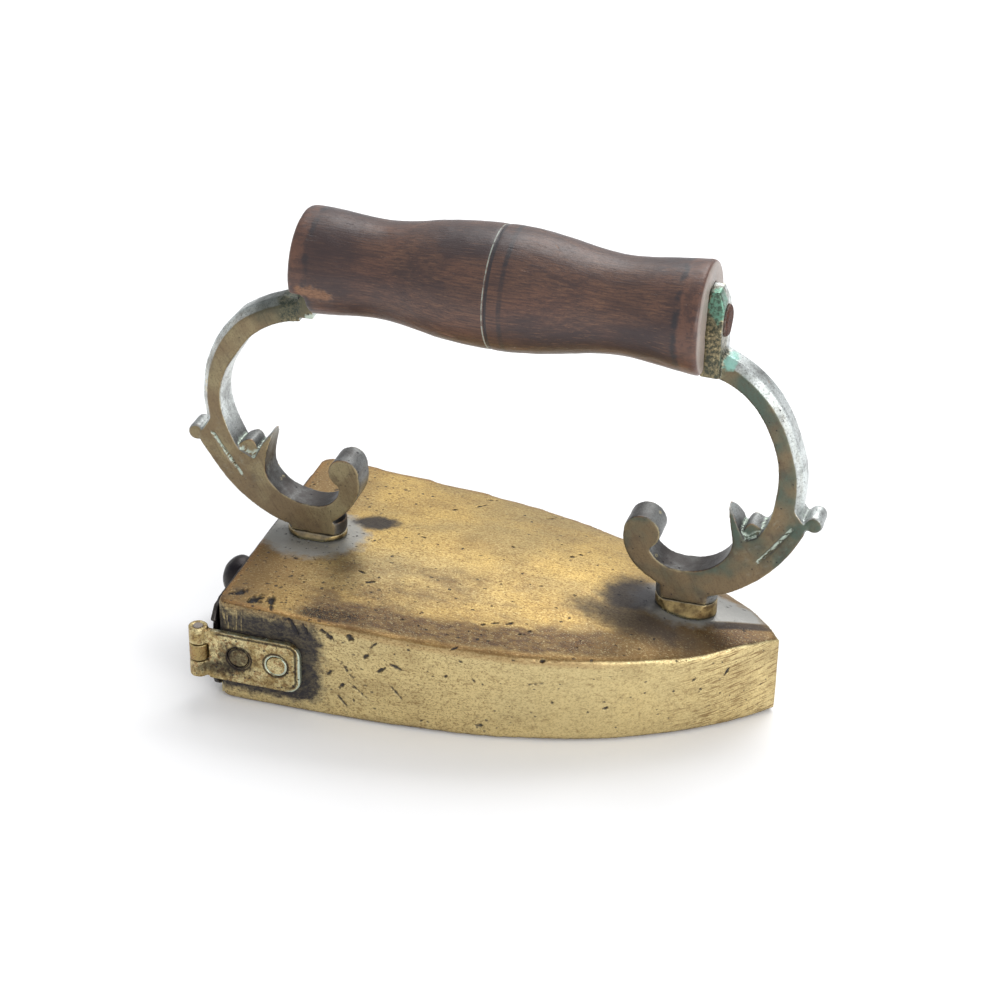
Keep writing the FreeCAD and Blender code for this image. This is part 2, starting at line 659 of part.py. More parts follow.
# ---- latch ----
def x_rod(radius, x0, x1):
    """A round bar on the latch axis."""
    return rod(radius, Vector(x0, 0, LATCH_Z), Vector(x1, 0, LATCH_Z))


def bar_rear_x():
    return HEEL_X + KEEPER_SETBACK + KEEPER_THICKNESS + LATCH_GAP


def make_latch_keeper():
    """The lip on the chamber ceiling that the bar turns behind."""
    x = HEEL_X + KEEPER_SETBACK
    lip = box(x, x + KEEPER_THICKNESS, -KEEPER_HALF_WIDTH, KEEPER_HALF_WIDTH,
              KEEPER_BOTTOM_Z, EDGE_HEIGHT + CROWN)
    return whole(below_ceiling(lip))


def make_latch_washer():
    outer = door_outer_x()
    ring = x_rod(WASHER_RADIUS, outer - WASHER_THICKNESS, outer)
    return whole(ring.cut(x_rod(SPINDLE_RADIUS + SPINDLE_CLEARANCE, HEEL_X - FAR, 0)))


def knob_base_x():
    return door_outer_x() - WASHER_THICKNESS - TURN_GAP


def spindle_tip_x():
    return knob_base_x() - SPINDLE_SHARE * (knob_base_x() - KNOB_TIP_X)


def make_door_knob():
    """A plain turned iron knob, waisted below a round head."""
    base = knob_base_x()
    length = base - KNOB_TIP_X
    points = [Vector(base - share * length, 0, LATCH_Z + KNOB_RADIUS * radius)
              for share, radius in KNOB_PROFILE]
    edges = [curve(points)]
    edges.append(Part.makeLine(points[-1], Vector(KNOB_TIP_X, 0, LATCH_Z)))
    edges.append(Part.makeLine(Vector(KNOB_TIP_X, 0, LATCH_Z), Vector(base, 0, LATCH_Z)))
    edges.append(Part.makeLine(Vector(base, 0, LATCH_Z), points[0]))
    face = Part.Face(Part.Wire(Part.__sortEdges__(edges)))
    knob = face.revolve(Vector(0, 0, LATCH_Z), Vector(1, 0, 0), 360)
    return whole(knob.cut(x_rod(SPINDLE_RADIUS, spindle_tip_x(), 0)))


def make_knob_spindle():
    """Runs from inside the knob through the door; its shoulder keeps the bar off the door."""
    spindle = x_rod(SPINDLE_RADIUS, spindle_tip_x(), bar_rear_x() + BAR_THICKNESS)
    shoulder = x_rod(SHOULDER_RADIUS, HEEL_X - DOOR_GAP + TURN_GAP, bar_rear_x())
    return whole(spindle.fuse(shoulder))


def make_spindle_burr():
    bar_front = bar_rear_x() + BAR_THICKNESS
    return x_rod(SPINDLE_BURR_RADIUS, bar_front, bar_front + BAR_BURR_THICKNESS)


def make_latch_bar():
    """The flat bar, lying level when released and upright when it holds the door."""
    x = bar_rear_x()
    bar = box(x, x + BAR_THICKNESS, -BAR_TAIL, BAR_REACH, LATCH_Z - BAR_HALF_WIDTH, LATCH_Z + BAR_HALF_WIDTH)
    corners = [e for e in bar.Edges if abs(e.BoundBox.XLength - BAR_THICKNESS) < NEAR]
    bar = bar.makeFillet(BAR_CORNER_RADIUS, corners)
    return whole(bar.cut(x_rod(SPINDLE_RADIUS, HEEL_X, 0)))


# ---- slug ----
def make_heating_slug():
    """The cast iron slug, heated in the fire and slid in; the hook lifts it by the hole."""
    width = HALF_WIDTH - WALL - SLUG_SIDE_GAP
    slug = boat(HEEL_X, SLUG_TOE_X, width, SOLE_THICKNESS + RIB_HEIGHT, SLUG_TOP_Z)
    slug = slug.cut(box(HEEL_X - NEAR, SLUG_REAR_X, -FAR, FAR, 0, FAR))
    hole = rod(SLUG_HOLE_RADIUS, Vector(SLUG_HOLE_X, 0, 0), Vector(SLUG_HOLE_X, 0, FAR))
    slug = whole(slug.cut(hole))
    corners = [e for e in slug.Edges
               if e.BoundBox.XMax < SLUG_REAR_X + NEAR and e.BoundBox.YLength < NEAR]
    return whole(slug.makeFillet(SLUG_CORNER_RADIUS, corners))


NODES = {
    "box_casting": make_box_casting,
    "sole_plate": make_sole_plate,
    "slug_rest_ribs": make_slug_rest_ribs,
    "rear_post": lambda: make_post("rear"),
    "front_post": lambda: make_post("front"),
    "rear_foot_pad": lambda: make_pad("rear"),
    "front_foot_pad": lambda: make_pad("front"),
    "rear_post_burr": lambda: make_burr("rear"),
    "front_post_burr": lambda: make_burr("front"),
    "wooden_grip": make_grip,
    "grip_rod": make_grip_rod,
    "hinge_strap": make_strap,
    "strap_rivets": make_strap_rivets,
    "hinge_pin": make_hinge_pin,
    "latch_keeper": make_latch_keeper,
    "door_plate": make_door_plate,
    "door_hinge_leaf": make_door_leaf,
    "door_leaf_rivets": make_leaf_rivets,
    "latch_washer": make_latch_washer,
    "door_knob": make_door_knob,
    "knob_spindle": make_knob_spindle,
    "latch_bar": make_latch_bar,
    "spindle_burr": make_spindle_burr,
    "heating_slug": make_heating_slug,
}


def main():
    os.makedirs("parts", exist_ok=True)
    for name, make in NODES.items():
        shape = make()
        for solid in shape.Solids:
            if not solid.isValid() or solid.Volume <= 0:
                raise ValueError(name + " is not a valid solid")
        shape.exportStep("parts/" + name + ".step")
        print(name, len(shape.Solids), round(shape.Volume, 1))


main()
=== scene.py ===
import math
import random

import bmesh
import bpy
from mathutils import Matrix, Vector, noise
from mathutils.bvhtree import BVHTree
from mathutils.kdtree import KDTree


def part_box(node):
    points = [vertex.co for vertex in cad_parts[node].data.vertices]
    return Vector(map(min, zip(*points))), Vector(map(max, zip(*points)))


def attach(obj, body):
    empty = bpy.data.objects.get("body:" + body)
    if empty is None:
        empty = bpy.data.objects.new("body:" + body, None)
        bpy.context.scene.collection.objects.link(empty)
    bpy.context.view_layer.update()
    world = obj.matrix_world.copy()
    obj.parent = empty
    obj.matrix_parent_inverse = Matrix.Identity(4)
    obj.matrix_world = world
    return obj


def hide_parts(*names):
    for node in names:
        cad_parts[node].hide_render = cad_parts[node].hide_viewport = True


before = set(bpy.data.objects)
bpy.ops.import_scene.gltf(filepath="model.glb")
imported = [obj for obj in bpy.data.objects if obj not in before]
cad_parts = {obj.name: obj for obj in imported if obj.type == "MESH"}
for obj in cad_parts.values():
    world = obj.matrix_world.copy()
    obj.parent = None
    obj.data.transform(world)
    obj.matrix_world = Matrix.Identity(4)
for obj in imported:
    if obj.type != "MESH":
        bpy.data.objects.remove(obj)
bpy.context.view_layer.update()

# The looks of a worn brass box iron: every visible CAD part gets a dense copy with softened
# edges, dents and chips, and every surface a procedural material. Lengths are in metres
# unless a heading or a name says millimetres; MM is one millimetre in metres. Patterns and
# stains are sized in millimetres.

SCENE = bpy.context.scene
MM = 0.001
SEED = 11
WELD_DISTANCE = 1e-6
RAY_START = 0.06  # where rays towards the body start
# how far painted contact shade reaches from a touching part
CONTACT_SHADE_REACH = 1.6 * MM

# ---- carved marks: their edges wander at this size; reach in half widths; how soon a layer is full ----
WANDER_SIZE = 0.9 * MM
WIDEST_MARK = 1.6
MARK_SHADE = 1.6

# ---- camera, in degrees and metres; its lens and sensor in millimetres ----
AZIMUTH = 16.69
ELEVATION = 30.15
ROLL = 1.09
CAMERA_DISTANCE = 0.7031
CAMERA_TARGET = Vector((0.00023, 0.00128, 0.05074))
CAMERA_LENS = 93.24
SENSOR_WIDTH = 36

# ---- studio, in metres; a light has a name, a place, a width and a power ----
FLOOR_REACH = 3.0
SKY_COLOUR = (0.97, 0.98, 1.0, 1)
SKY_STRENGTH = 0.66
LIGHT_TARGET = (0, 0, 0.05)
LIGHTS = [("back", (0.08, 0.85, 1.3), 1.2, 16.0), ("side", (0.95, -0.75, 0.42), 0.7, 7.0)]

# ---- the dark line across the toe, a painted reflection of the front post: where y less the slope times x is one number, in mm ----
TOE_LINE_SLOPE = 0.55
TOE_LINE_AT = -37.2

# ---- tones along the iron: x in millimetres where each begins and where it is full ----
HEEL_BROWN = (-28, -54)
TOE_BROWN = (36, 66)
TIP_BROWN = (80, 91)
FOOT_TARNISH = (20, -20)
CALM_WALL = (-5, 35)
FILED_WALL = (62, 86)
# the band of painted shade just inside the near top edge fades in between these x
SHOULDER_BAND_HEEL = (-50, -38)
SHOULDER_BAND_TOE = (62, 30)
RUST_LINE = (56, 30)
BARE_EDGE = (26, 58)
BUSY_HEEL = (2, -38)

# ---- stains, a painted highlight and patches of painted shade: middle and half size in millimetres ----
TOP_PAINTED_HIGHLIGHT = ((-20, -12, 31), (26, 10, 20))
TOE_DARK_PATCH = ((70, -6, 28), (9, 5.5, 12))
EDGE_SHADE = ((-36, -37.5, 31), (9, 2.6, 12))
PAD_STAIN_HEIGHT = 20
GRIP_SMEAR = ((-43, -9, 121), (8, 12, 10))
GRIP_KNOT = ((-11, -8, 128), (3.6, 4, 3.2))
VEIN_X = 75
VEIN_Z = 54

# ---- the turned grip: places along it, and the heart of its tree from the axis, in millimetres ----
RIM_START = 50.2
END_RING = 50.1
SECOND_RING = 4.6
MIDDLE_GROOVE = 0.35
MIDDLE_LINE = -0.42
HEART_BEHIND = 26.0
HEART_BELOW = 22.0
GROOVE_STEPS = 60

# ---- small knocks: how many, the shares on top and near wall, heights and lengths in millimetres ----
NICK_COUNT = 70
NICKS_ON_TOP = 0.55
NICKS_ON_NEAR_WALL = 0.3
LOWEST_NICK = 1.5
LONGEST_NICK = 4

# ---- places taken from the CAD; what is divided by MM is in millimetres ----
BODY_LOW, BODY_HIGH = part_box("box_casting")
GRIP_LOW, GRIP_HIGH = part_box("wooden_grip")
STRAP_LOW, STRAP_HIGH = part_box("hinge_strap")
RIVETS_LOW, RIVETS_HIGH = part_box("strap_rivets")
RIVET_RADIUS = (RIVETS_HIGH.z - RIVETS_LOW.z) / 2 / MM
STRAP_MIDDLE_Z = (STRAP_LOW.z + STRAP_HIGH.z) / 2 / MM
STRAP_HALF_HEIGHT = (STRAP_HIGH.z - STRAP_LOW.z) / 2 / MM
PADS = {end: (sum(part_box(end + "_foot_pad"), Vector()) / 2) / MM for end in ("rear", "front")}
GRIP_AXIS_Z = (GRIP_LOW.z + GRIP_HIGH.z) / 2
GRIP_END_MM = GRIP_HIGH.x / MM
HEEL_MM = BODY_LOW.x / MM
TOE_MM = BODY_HIGH.x / MM

# ---- dents in millimetres: start and end (x and y on the top, x and z on the wall), half width,
# depth ----
TOP_DENTS = [
    (-63.2, -37.2, -60.4, -34.9, 1.5, 0.8), (-57.2, -38.6, -55.4, -36.2, 2.1, 1.0),
    (-52.4, -35.2, -51.6, -37.6, 1.5, 0.9), (-51.6, -37.6, -50.4, -40.6, 0.6, 0.4),
    (-30.8, -20.1, -28.8, -19.4, 0.7, 0.4), (-34.8, -15.6, -32.6, -16.4, 0.4, 0.3),
    (-16.1, 28.8, -13.2, 32.8, 0.4, 0.3), (-20.6, 25.3, -20.0, 25.7, 0.7, 0.4),
    (4.4, -27.6, 5.0, -27.4, 0.6, 0.4), (6.6, -26.4, 8.4, -25.6, 0.4, 0.3),
    (18.0, 11.6, 19.2, 12.2, 0.6, 0.35), (5.0, 32.3, 7.2, 34.0, 0.4, 0.3),
    (10.6, -25.4, 12.0, -24.2, 0.5, 0.3), (17.0, -26.2, 17.6, -25.6, 0.5, 0.3),
    (-14.4, 36.2, -11.0, 37.4, 0.4, 0.3), (14.4, -6.4, 15.0, -6.0, 0.5, 0.3),
]
WALL_DENTS = [
    (-44.9, 29.2, -42.6, 25.4, 1.0, 0.7), (-41.0, 28.4, -39.8, 25.2, 0.8, 0.5),
    (-35.8, 27.4, -32.6, 25.0, 1.1, 0.8), (-28.4, 26.9, -27.2, 26.3, 1.4, 0.9),
    (-28.0, 12.2, -21.5, 6.5, 0.5, 0.45), (-30.6, 18.9, -27.3, 13.7, 0.45, 0.4),
    (-16.8, 20.1, -13.2, 18.8, 0.6, 0.4), (-17.2, 13.8, -13.2, 9.1, 0.5, 0.4),
    (-31.4, 7.5, -28.7, 4.2, 0.5, 0.4), (-27.4, 9.0, -26.8, 5.0, 0.4, 0.35),
    (-20.2, 17.2, -18.2, 18.6, 0.8, 0.5), (-24.0, 21.0, -22.8, 22.0, 0.8, 0.5),
    (-22.2, 24.4, -20.4, 26.2, 0.5, 0.4), (-34.2, 14.0, -32.8, 15.2, 0.9, 0.45),
    (-30.9, 10.2, -29.8, 11.4, 0.8, 0.45), (-28.9, 16.0, -28.0, 16.4, 0.8, 0.45),
    (-8.6, 3.2, -7.2, 4.2, 0.5, 0.35), (6.6, 4.0, 8.6, 4.2, 0.6, 0.35),
    (20.2, 18.2, 24.4, 18.8, 0.45, 0.35), (23.0, 25.6, 23.6, 25.8, 1.0, 0.6),
    (26.0, 12.6, 26.5, 12.7, 0.6, 0.4), (39.0, 10.6, 40.0, 11.0, 0.6, 0.35),
    (60.0, 16.4, 61.2, 17.2, 0.5, 0.3), (68.0, 16.8, 68.8, 18.6, 0.6, 0.35),
    (-2.2, 18.4, -1.4, 18.9, 0.5, 0.35), (-0.4, 27.2, 1.0, 27.8, 0.5, 0.35),
]

# ---- chips in the grip in millimetres: start point, end point, half width, depth ----
GRIP_CHIPS = [
    (-51.0, -13.4, 112.6, -43.4, -13.4, 111.4, 2.9, 0.5), (9.0, 3.5, 131.2, 10.4, 3.5, 131.2, 0.8, 0.4),
    (41.5, -7.4, 102.6, 51.8, -8.2, 102.0, 1.1, 0.5), (14.4, -2.0, 130.2, 15.8, -3.4, 130.0, 0.35, 0.2),
    (-12.0, -12.6, 105.4, -8.6, -12.8, 105.0, 0.5, 0.25), (46.6, -14.6, 112.2, 47.6, -14.4, 110.2, 0.5, 0.25),
]


# ---- colours ----
def tone(red, green, blue):
    """A colour given as the 0-255 values that a screen shows, through the usual screen curve."""
    linear = []
    for value in (red, green, blue):
        share = value / 255
        linear.append(share / 12.92 if share <= 0.04045 else ((share + 0.055) / 1.055) ** 2.4)
    return (*linear, 1.0)


GOLD = tone(194, 165, 102)
OLIVE = tone(168, 146, 98)
PALE_BRASS = tone(222, 208, 158)
# paler brass for the walls: a painted reflection of the bright floor they face
WALL_REFLECTION_BRASS = tone(222, 204, 152)
BROWN_BRASS = tone(126, 100, 66)
RUST_BRASS = tone(152, 110, 68)
TARNISH = tone(82, 66, 54)
# mid grey: on the body top the smooth patina round the pads, its pale look partly a painted reflection of the
# white studio; on the pads a painted highlight on their ledge
SOOT = tone(33, 30, 35)
GREY_SHEEN = tone(150, 152, 150)
VERDIGRIS = tone(140, 196, 182)
PALE_VERDIGRIS = tone(196, 210, 196)
DEEP_VERDIGRIS = tone(98, 158, 138)
GREEN_BLACK = tone(44, 54, 46)
PAD_BROWN = tone(104, 86, 56)
POST_BROWN = tone(124, 106, 78)
POST_OLIVE = tone(150, 138, 104)
POST_GREEN = tone(78, 92, 80)
# the posts' sides: the pale grey is a painted reflection of the white studio; the dark one mottles it and
# paints shade low down and in the scroll's bowl
SIDE_SHEEN_GREY = tone(220, 226, 224)
SIDE_DARK = tone(66, 62, 60)
WOOD = tone(88, 61, 48)
WOOD_DARK = tone(50, 34, 34)
WOOD_RED = tone(104, 70, 54)
WOOD_BARE = tone(138, 100, 72)
WOOD_PALE = tone(204, 196, 186)
IRON = tone(58, 54, 52)
IRON_WORN = tone(112, 106, 100)
RUST = tone(106, 62, 40)
RUST_DARK = tone(60, 38, 32)


# ---- mesh helpers ----
def welded(mesh):
    """The mesh as a shape to edit, its doubled points joined."""
    shape = bmesh.new()
    shape.from_mesh(mesh)
    bmesh.ops.remove_doubles(shape, verts=shape.verts, dist=WELD_DISTANCE)
    return shape


def point_tree(places):
    """A search tree over a list of places."""
    tree = KDTree(len(places))
    for index, place in enumerate(places):
        tree.insert(place, index)
    tree.balance()
    return tree


def copy_of(node, voxel, rounds):
    """A dense closed copy of a CAD node with softened edges, linked to the scene."""
    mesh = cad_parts[node].data.copy()
    shape = welded(mesh)
    shape.to_mesh(mesh)
    shape.free()
    mesh.materials.clear()
    piece = bpy.data.objects.new(node + "_worn", mesh)
    SCENE.collection.objects.link(piece)
    remesh = piece.modifiers.new("Remesh", "REMESH")
    remesh.mode = "VOXEL"
    remesh.voxel_size = voxel
    smooth = piece.modifiers.new("Smooth", "SMOOTH")
    smooth.factor = 0.5
    smooth.iterations = rounds
    bpy.context.view_layer.update()
    graph = bpy.context.evaluated_depsgraph_get()
    piece.data = bpy.data.meshes.new_from_object(piece.evaluated_get(graph))
    piece.modifiers.clear()
    return piece


def shade_smooth(piece):
    piece.data.polygons.foreach_set("use_smooth", [True] * len(piece.data.polygons))
    piece.data.update()


def along_segment(point, start, end):
    """Distance to a segment, and how far along it that is, from 0 to 1."""
    line = end - start
    share = (point - start).dot(line) / max(line.length_squared, 1e-12)
    share = min(max(share, 0.0), 1.0)
    return (point - (start + line * share)).length, share


def refine(piece, marks, margin):
    """Splits the faces near the marks, so that the marks have enough points to be shaped by."""
    shape = bmesh.new()
    shape.from_mesh(piece.data)
    faces = list(shape.faces)
    tree = point_tree([face.calc_center_median() for face in faces])
    chosen = set()
    for start, end, half_width, _ in marks:
        reach = (end - start).length / 2 + half_width + margin
        for centre, index, _ in tree.find_range((start + end) / 2, reach):
            if along_segment(centre, start, end)[0] < half_width + margin:
                chosen.update(faces[index].edges)
    bmesh.ops.subdivide_edges(shape, edges=list(chosen), cuts=1, use_grid_fill=True)
    shape.to_mesh(piece.data)
    shape.free()


def layer(piece, name, values):
    """Stores one number per point for the materials to read."""
    attribute = piece.data.attributes.new(name, "FLOAT", "POINT")
    attribute.data.foreach_set("value", values)


def carve(piece, marks, name=None, wander=0.9, taper=0.35):
    """Presses the marks, narrower at their ends, into the surface; a name keeps them as a layer."""
    places = [point.co for point in piece.data.vertices]
    tree = point_tree(places)
    press = [0.0] * len(places)
    shade = [0.0] * len(places)
    for start, end, half_width, depth in marks:
        reach = (end - start).length / 2 + WIDEST_MARK * half_width
        for place, index, _ in tree.find_range((start + end) / 2, reach):
            distance, along = along_segment(place, start, end)
            width = half_width * (1 - taper * abs(2 * along - 1))
            share = distance / (width * (1 + wander * noise.noise(place / WANDER_SIZE)))
            if share < 1:
                bowl = (1 - share * share) ** 2
                press[index] = max(press[index], depth * bowl)
                shade[index] = max(shade[index], min(1.0, MARK_SHADE * bowl))
    move_in(piece, press)
    if name:
        layer(piece, name, shade)


def move_in(piece, depths):
    """Moves each point inward along its normal by its own depth."""
    points = piece.data.vertices
    moved = [point.co - point.normal * depth for point, depth in zip(points, depths)]
    points.foreach_set("co", [value for place in moved for value in place])
    piece.data.update()


def roughen(piece, size, depth):
    """Uneven hand-finished surface: noise of one size, inward only."""
    depths = []
    for point in piece.data.vertices:
        value = noise.fractal(point.co / size, 1.0, 2.0, 3)
        depths.append(depth * min(max(0.5 + 0.5 * value, 0.0), 1.0))
    move_in(piece, depths)


def tree_of(objects):
    """One search tree over the surfaces of several mesh objects."""
    corners = []
    faces = []
    for made in objects:
        base = len(corners)
        corners += [point.co for point in made.data.vertices]
        faces += [[base + i for i in face.vertices] for face in made.data.polygons]
    return BVHTree.FromPolygons(corners, faces)


def contact_shade_layer(piece, neighbours, reach):
    """A layer of painted contact shade: 1 where a neighbour touches, 0 from reach away."""
    tree = tree_of([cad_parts[node] for node in neighbours])
    values = []
    for point in piece.data.vertices:
        distance = tree.find_nearest(point.co, reach)[3]
        values.append(0.0 if distance is None else 1 - distance / reach)
    layer(piece, "contact_shade", values)


def rim_points():
    """Points along the edge where the CAD body's top meets its walls."""
    shape = welded(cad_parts["box_casting"].data)
    found = []
    for edge in shape.edges:
        if len(edge.link_faces) == 2:
            rise = sorted(face.normal.z for face in edge.link_faces)
            is_top, is_wall = rise[1] > 0.85, abs(rise[0]) < 0.4
            if is_top and is_wall:
                start, end = (corner.co for corner in edge.verts)
                steps = max(1, math.ceil((end - start).length / MM))
                found += [start.lerp(end, step / steps) for step in range(steps)]
    shape.free()
    return found


def rim_layer(piece, reach):
    """Layer rim: millimetres to the top edge, up to reach."""
    tree = point_tree(rim_points())
    layer(piece, "rim", [min(tree.find(point.co)[2] / MM, reach) for point in piece.data.vertices])


def finish_piece(piece, body, node, material):
    """Gives the piece its material, the body it rides on and the CAD node it stands for."""
    shade_smooth(piece)
    piece.data.materials.append(material)
    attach(piece, body)
    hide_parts(node)


# ---- material helper ----
class Shader:
    """Builds one material; each method adds nodes and returns the socket they end in."""

    PATTERN_SHIFT = 1.37

    def __init__(self, name):
        self.material = bpy.data.materials.new(name)
        self.material.use_nodes = True
        self.nodes = self.material.node_tree.nodes
        self.links = self.material.node_tree.links
        self.nodes.clear()
        coordinates = self.node("ShaderNodeTexCoord")
        self.place = coordinates.outputs["Object"]
        self.normal = coordinates.outputs["Normal"]
        self.shift = 0.0

    def node(self, kind, inputs=None, **settings):
        made = self.nodes.new(kind)
        for key, value in settings.items():
            setattr(made, key, value)
        for key, value in (inputs or {}).items():
            self.put(made.inputs[key], value)
        return made

    def put(self, socket, value):
        if isinstance(value, bpy.types.NodeSocket):
            self.links.new(value, socket)
        else:
            socket.default_value = value

    def math(self, operation, a, b=0.0):
        return self.node("ShaderNodeMath", {0: a, 1: b}, operation=operation).outputs[0]

    def times(self, a, b):
        return self.math("MULTIPLY", a, b)

    def plus(self, a, b):
        return self.math("ADD", a, b)

    def minus(self, a, b):
        return self.math("SUBTRACT", a, b)

    def either(self, a, b):
        return self.math("MAXIMUM", a, b)

    def length(self, a, b):
        """Length of the long side of a right triangle."""
        return self.math("SQRT", self.plus(self.times(a, a), self.times(b, b)))

    def swing(self, share, width):
        """A share from 0 to 1 turned into a number from minus half the width to plus half."""
        return self.times(self.minus(share, 0.5), width)

    def step(self, value, start, end):
        """Rises smoothly from 0 at start to 1 at end; start may be the larger."""
        inputs = {"Value": value, "From Min": start, "From Max": end}
        made = self.node("ShaderNodeMapRange", inputs, interpolation_type="SMOOTHSTEP")
        return made.outputs["Result"]

    def between(self, value, low, high):
        """A number from low to high for a share from 0 to 1."""
        inputs = {"Value": value, "To Min": low, "To Max": high}
        return self.node("ShaderNodeMapRange", inputs).outputs["Result"]

    def mix(self, share, a, b):
        return self.node("ShaderNodeMix", {0: share, 6: a, 7: b}, data_type="RGBA").outputs[2]

    def cover(self, base, paint, mask, strength):
        """The base colour with paint over it where the mask is, as strongly as given."""
        return self.mix(self.times(mask, strength), base, paint)

    def stretched(self, stretch, turn=(0, 0, 0)):
        """Coordinates for one pattern of its own, with features made longer along each axis."""
        self.shift += self.PATTERN_SHIFT
        turned = self.node("ShaderNodeMapping", {"Vector": self.place, "Rotation": turn}).outputs[0]
        inputs = {"Vector": turned, "Scale": [1 / s for s in stretch], "Location": [self.shift] * 3}
        return self.node("ShaderNodeMapping", inputs).outputs[0]

    def noise(self, size, stretch=(1, 1, 1), detail=3.0, roughness=0.55, turn=(0, 0, 0)):
        """Noise from 0 to 1 with features about size millimetres wide."""
        inputs = {"Vector": self.stretched(stretch, turn), "Scale": 1 / (size * MM),
                  "Detail": detail, "Roughness": roughness}
        return self.node("ShaderNodeTexNoise", inputs).outputs["Fac"]

    def pits(self, spacing, radius, share, stretch=(1, 1, 1), turn=(0, 0, 0)):
        """Marks of about radius millimetres on a share of cells: 1 in a mark."""
        inputs = {"Vector": self.stretched(stretch, turn), "Scale": 1 / (spacing * MM)}
        cells = self.node("ShaderNodeTexVoronoi", inputs)
        chance = self.node("ShaderNodeSeparateColor", {0: cells.outputs["Color"]})
        size = self.between(chance.outputs[1], 0.3 * radius / spacing, radius / spacing)
        uneven = self.swing(self.noise(0.9 * radius, detail=2), 1.8)
        reach = self.plus(self.math("DIVIDE", cells.outputs["Distance"], size), uneven)
        mark = self.step(reach, 1.1, 0.6)
        kept = self.math("LESS_THAN", chance.outputs[0], share)
        return self.times(mark, kept)

    def spot(self, centre, size, softness, ragged, grain=3.0, turn=0.0):
        """1 in an oval round a place, in millimetres, fading out unevenly over its edge."""
        inputs = {"Vector": self.place, "Location": [c * MM for c in centre],
                  "Rotation": (0, 0, math.radians(turn)), "Scale": [s * MM for s in size]}
        local = self.node("ShaderNodeMapping", inputs, vector_type="TEXTURE").outputs[0]
        length = self.node("ShaderNodeVectorMath", {0: local}, operation="LENGTH").outputs["Value"]
        uneven = self.swing(self.noise(grain), 2 * ragged)
        return self.step(self.plus(length, uneven), 1 + softness / 2, 1 - softness / 2)

    def axis(self, index):
        """One coordinate in millimetres."""
        split = self.node("ShaderNodeSeparateXYZ", {0: self.place})
        return self.times(split.outputs[index], 1 / MM)

    def facing(self, index):
        """One part of the surface's direction, from -1 to 1."""
        return self.node("ShaderNodeSeparateXYZ", {0: self.normal}).outputs[index]

    def band(self, value, centre, half_width, softness):
        """1 where value is within half_width of centre."""
        away = self.math("ABSOLUTE", self.minus(value, centre))
        return self.step(away, half_width + softness, half_width)

    def stored(self, name):
        """A layer that was written on the piece's points."""
        return self.node("ShaderNodeAttribute", attribute_name=name).outputs["Fac"]

    def edges(self, low, high):
        """1 on outward edges, or on inward ones when low is the larger."""
        return self.step(self.node("ShaderNodeNewGeometry").outputs["Pointiness"], low, high)

    def surface(self, colour, roughness, metallic, height, coat=0.0, coat_roughness=0.2, level=0.5):
        """Ends the material; height is in millimetres."""
        bump = self.node("ShaderNodeBump", {"Height": height, "Distance": MM, "Strength": 1.0})
        inputs = {"Base Color": colour, "Roughness": roughness, "Metallic": metallic,
                  "Normal": bump.outputs[0], "Coat Weight": coat, "Coat Roughness": coat_roughness,
                  "Specular IOR Level": level}
        shader = self.node("ShaderNodeBsdfPrincipled", inputs)
        output = self.node("ShaderNodeOutputMaterial")
        self.links.new(shader.outputs[0], output.inputs["Surface"])
        return self.material


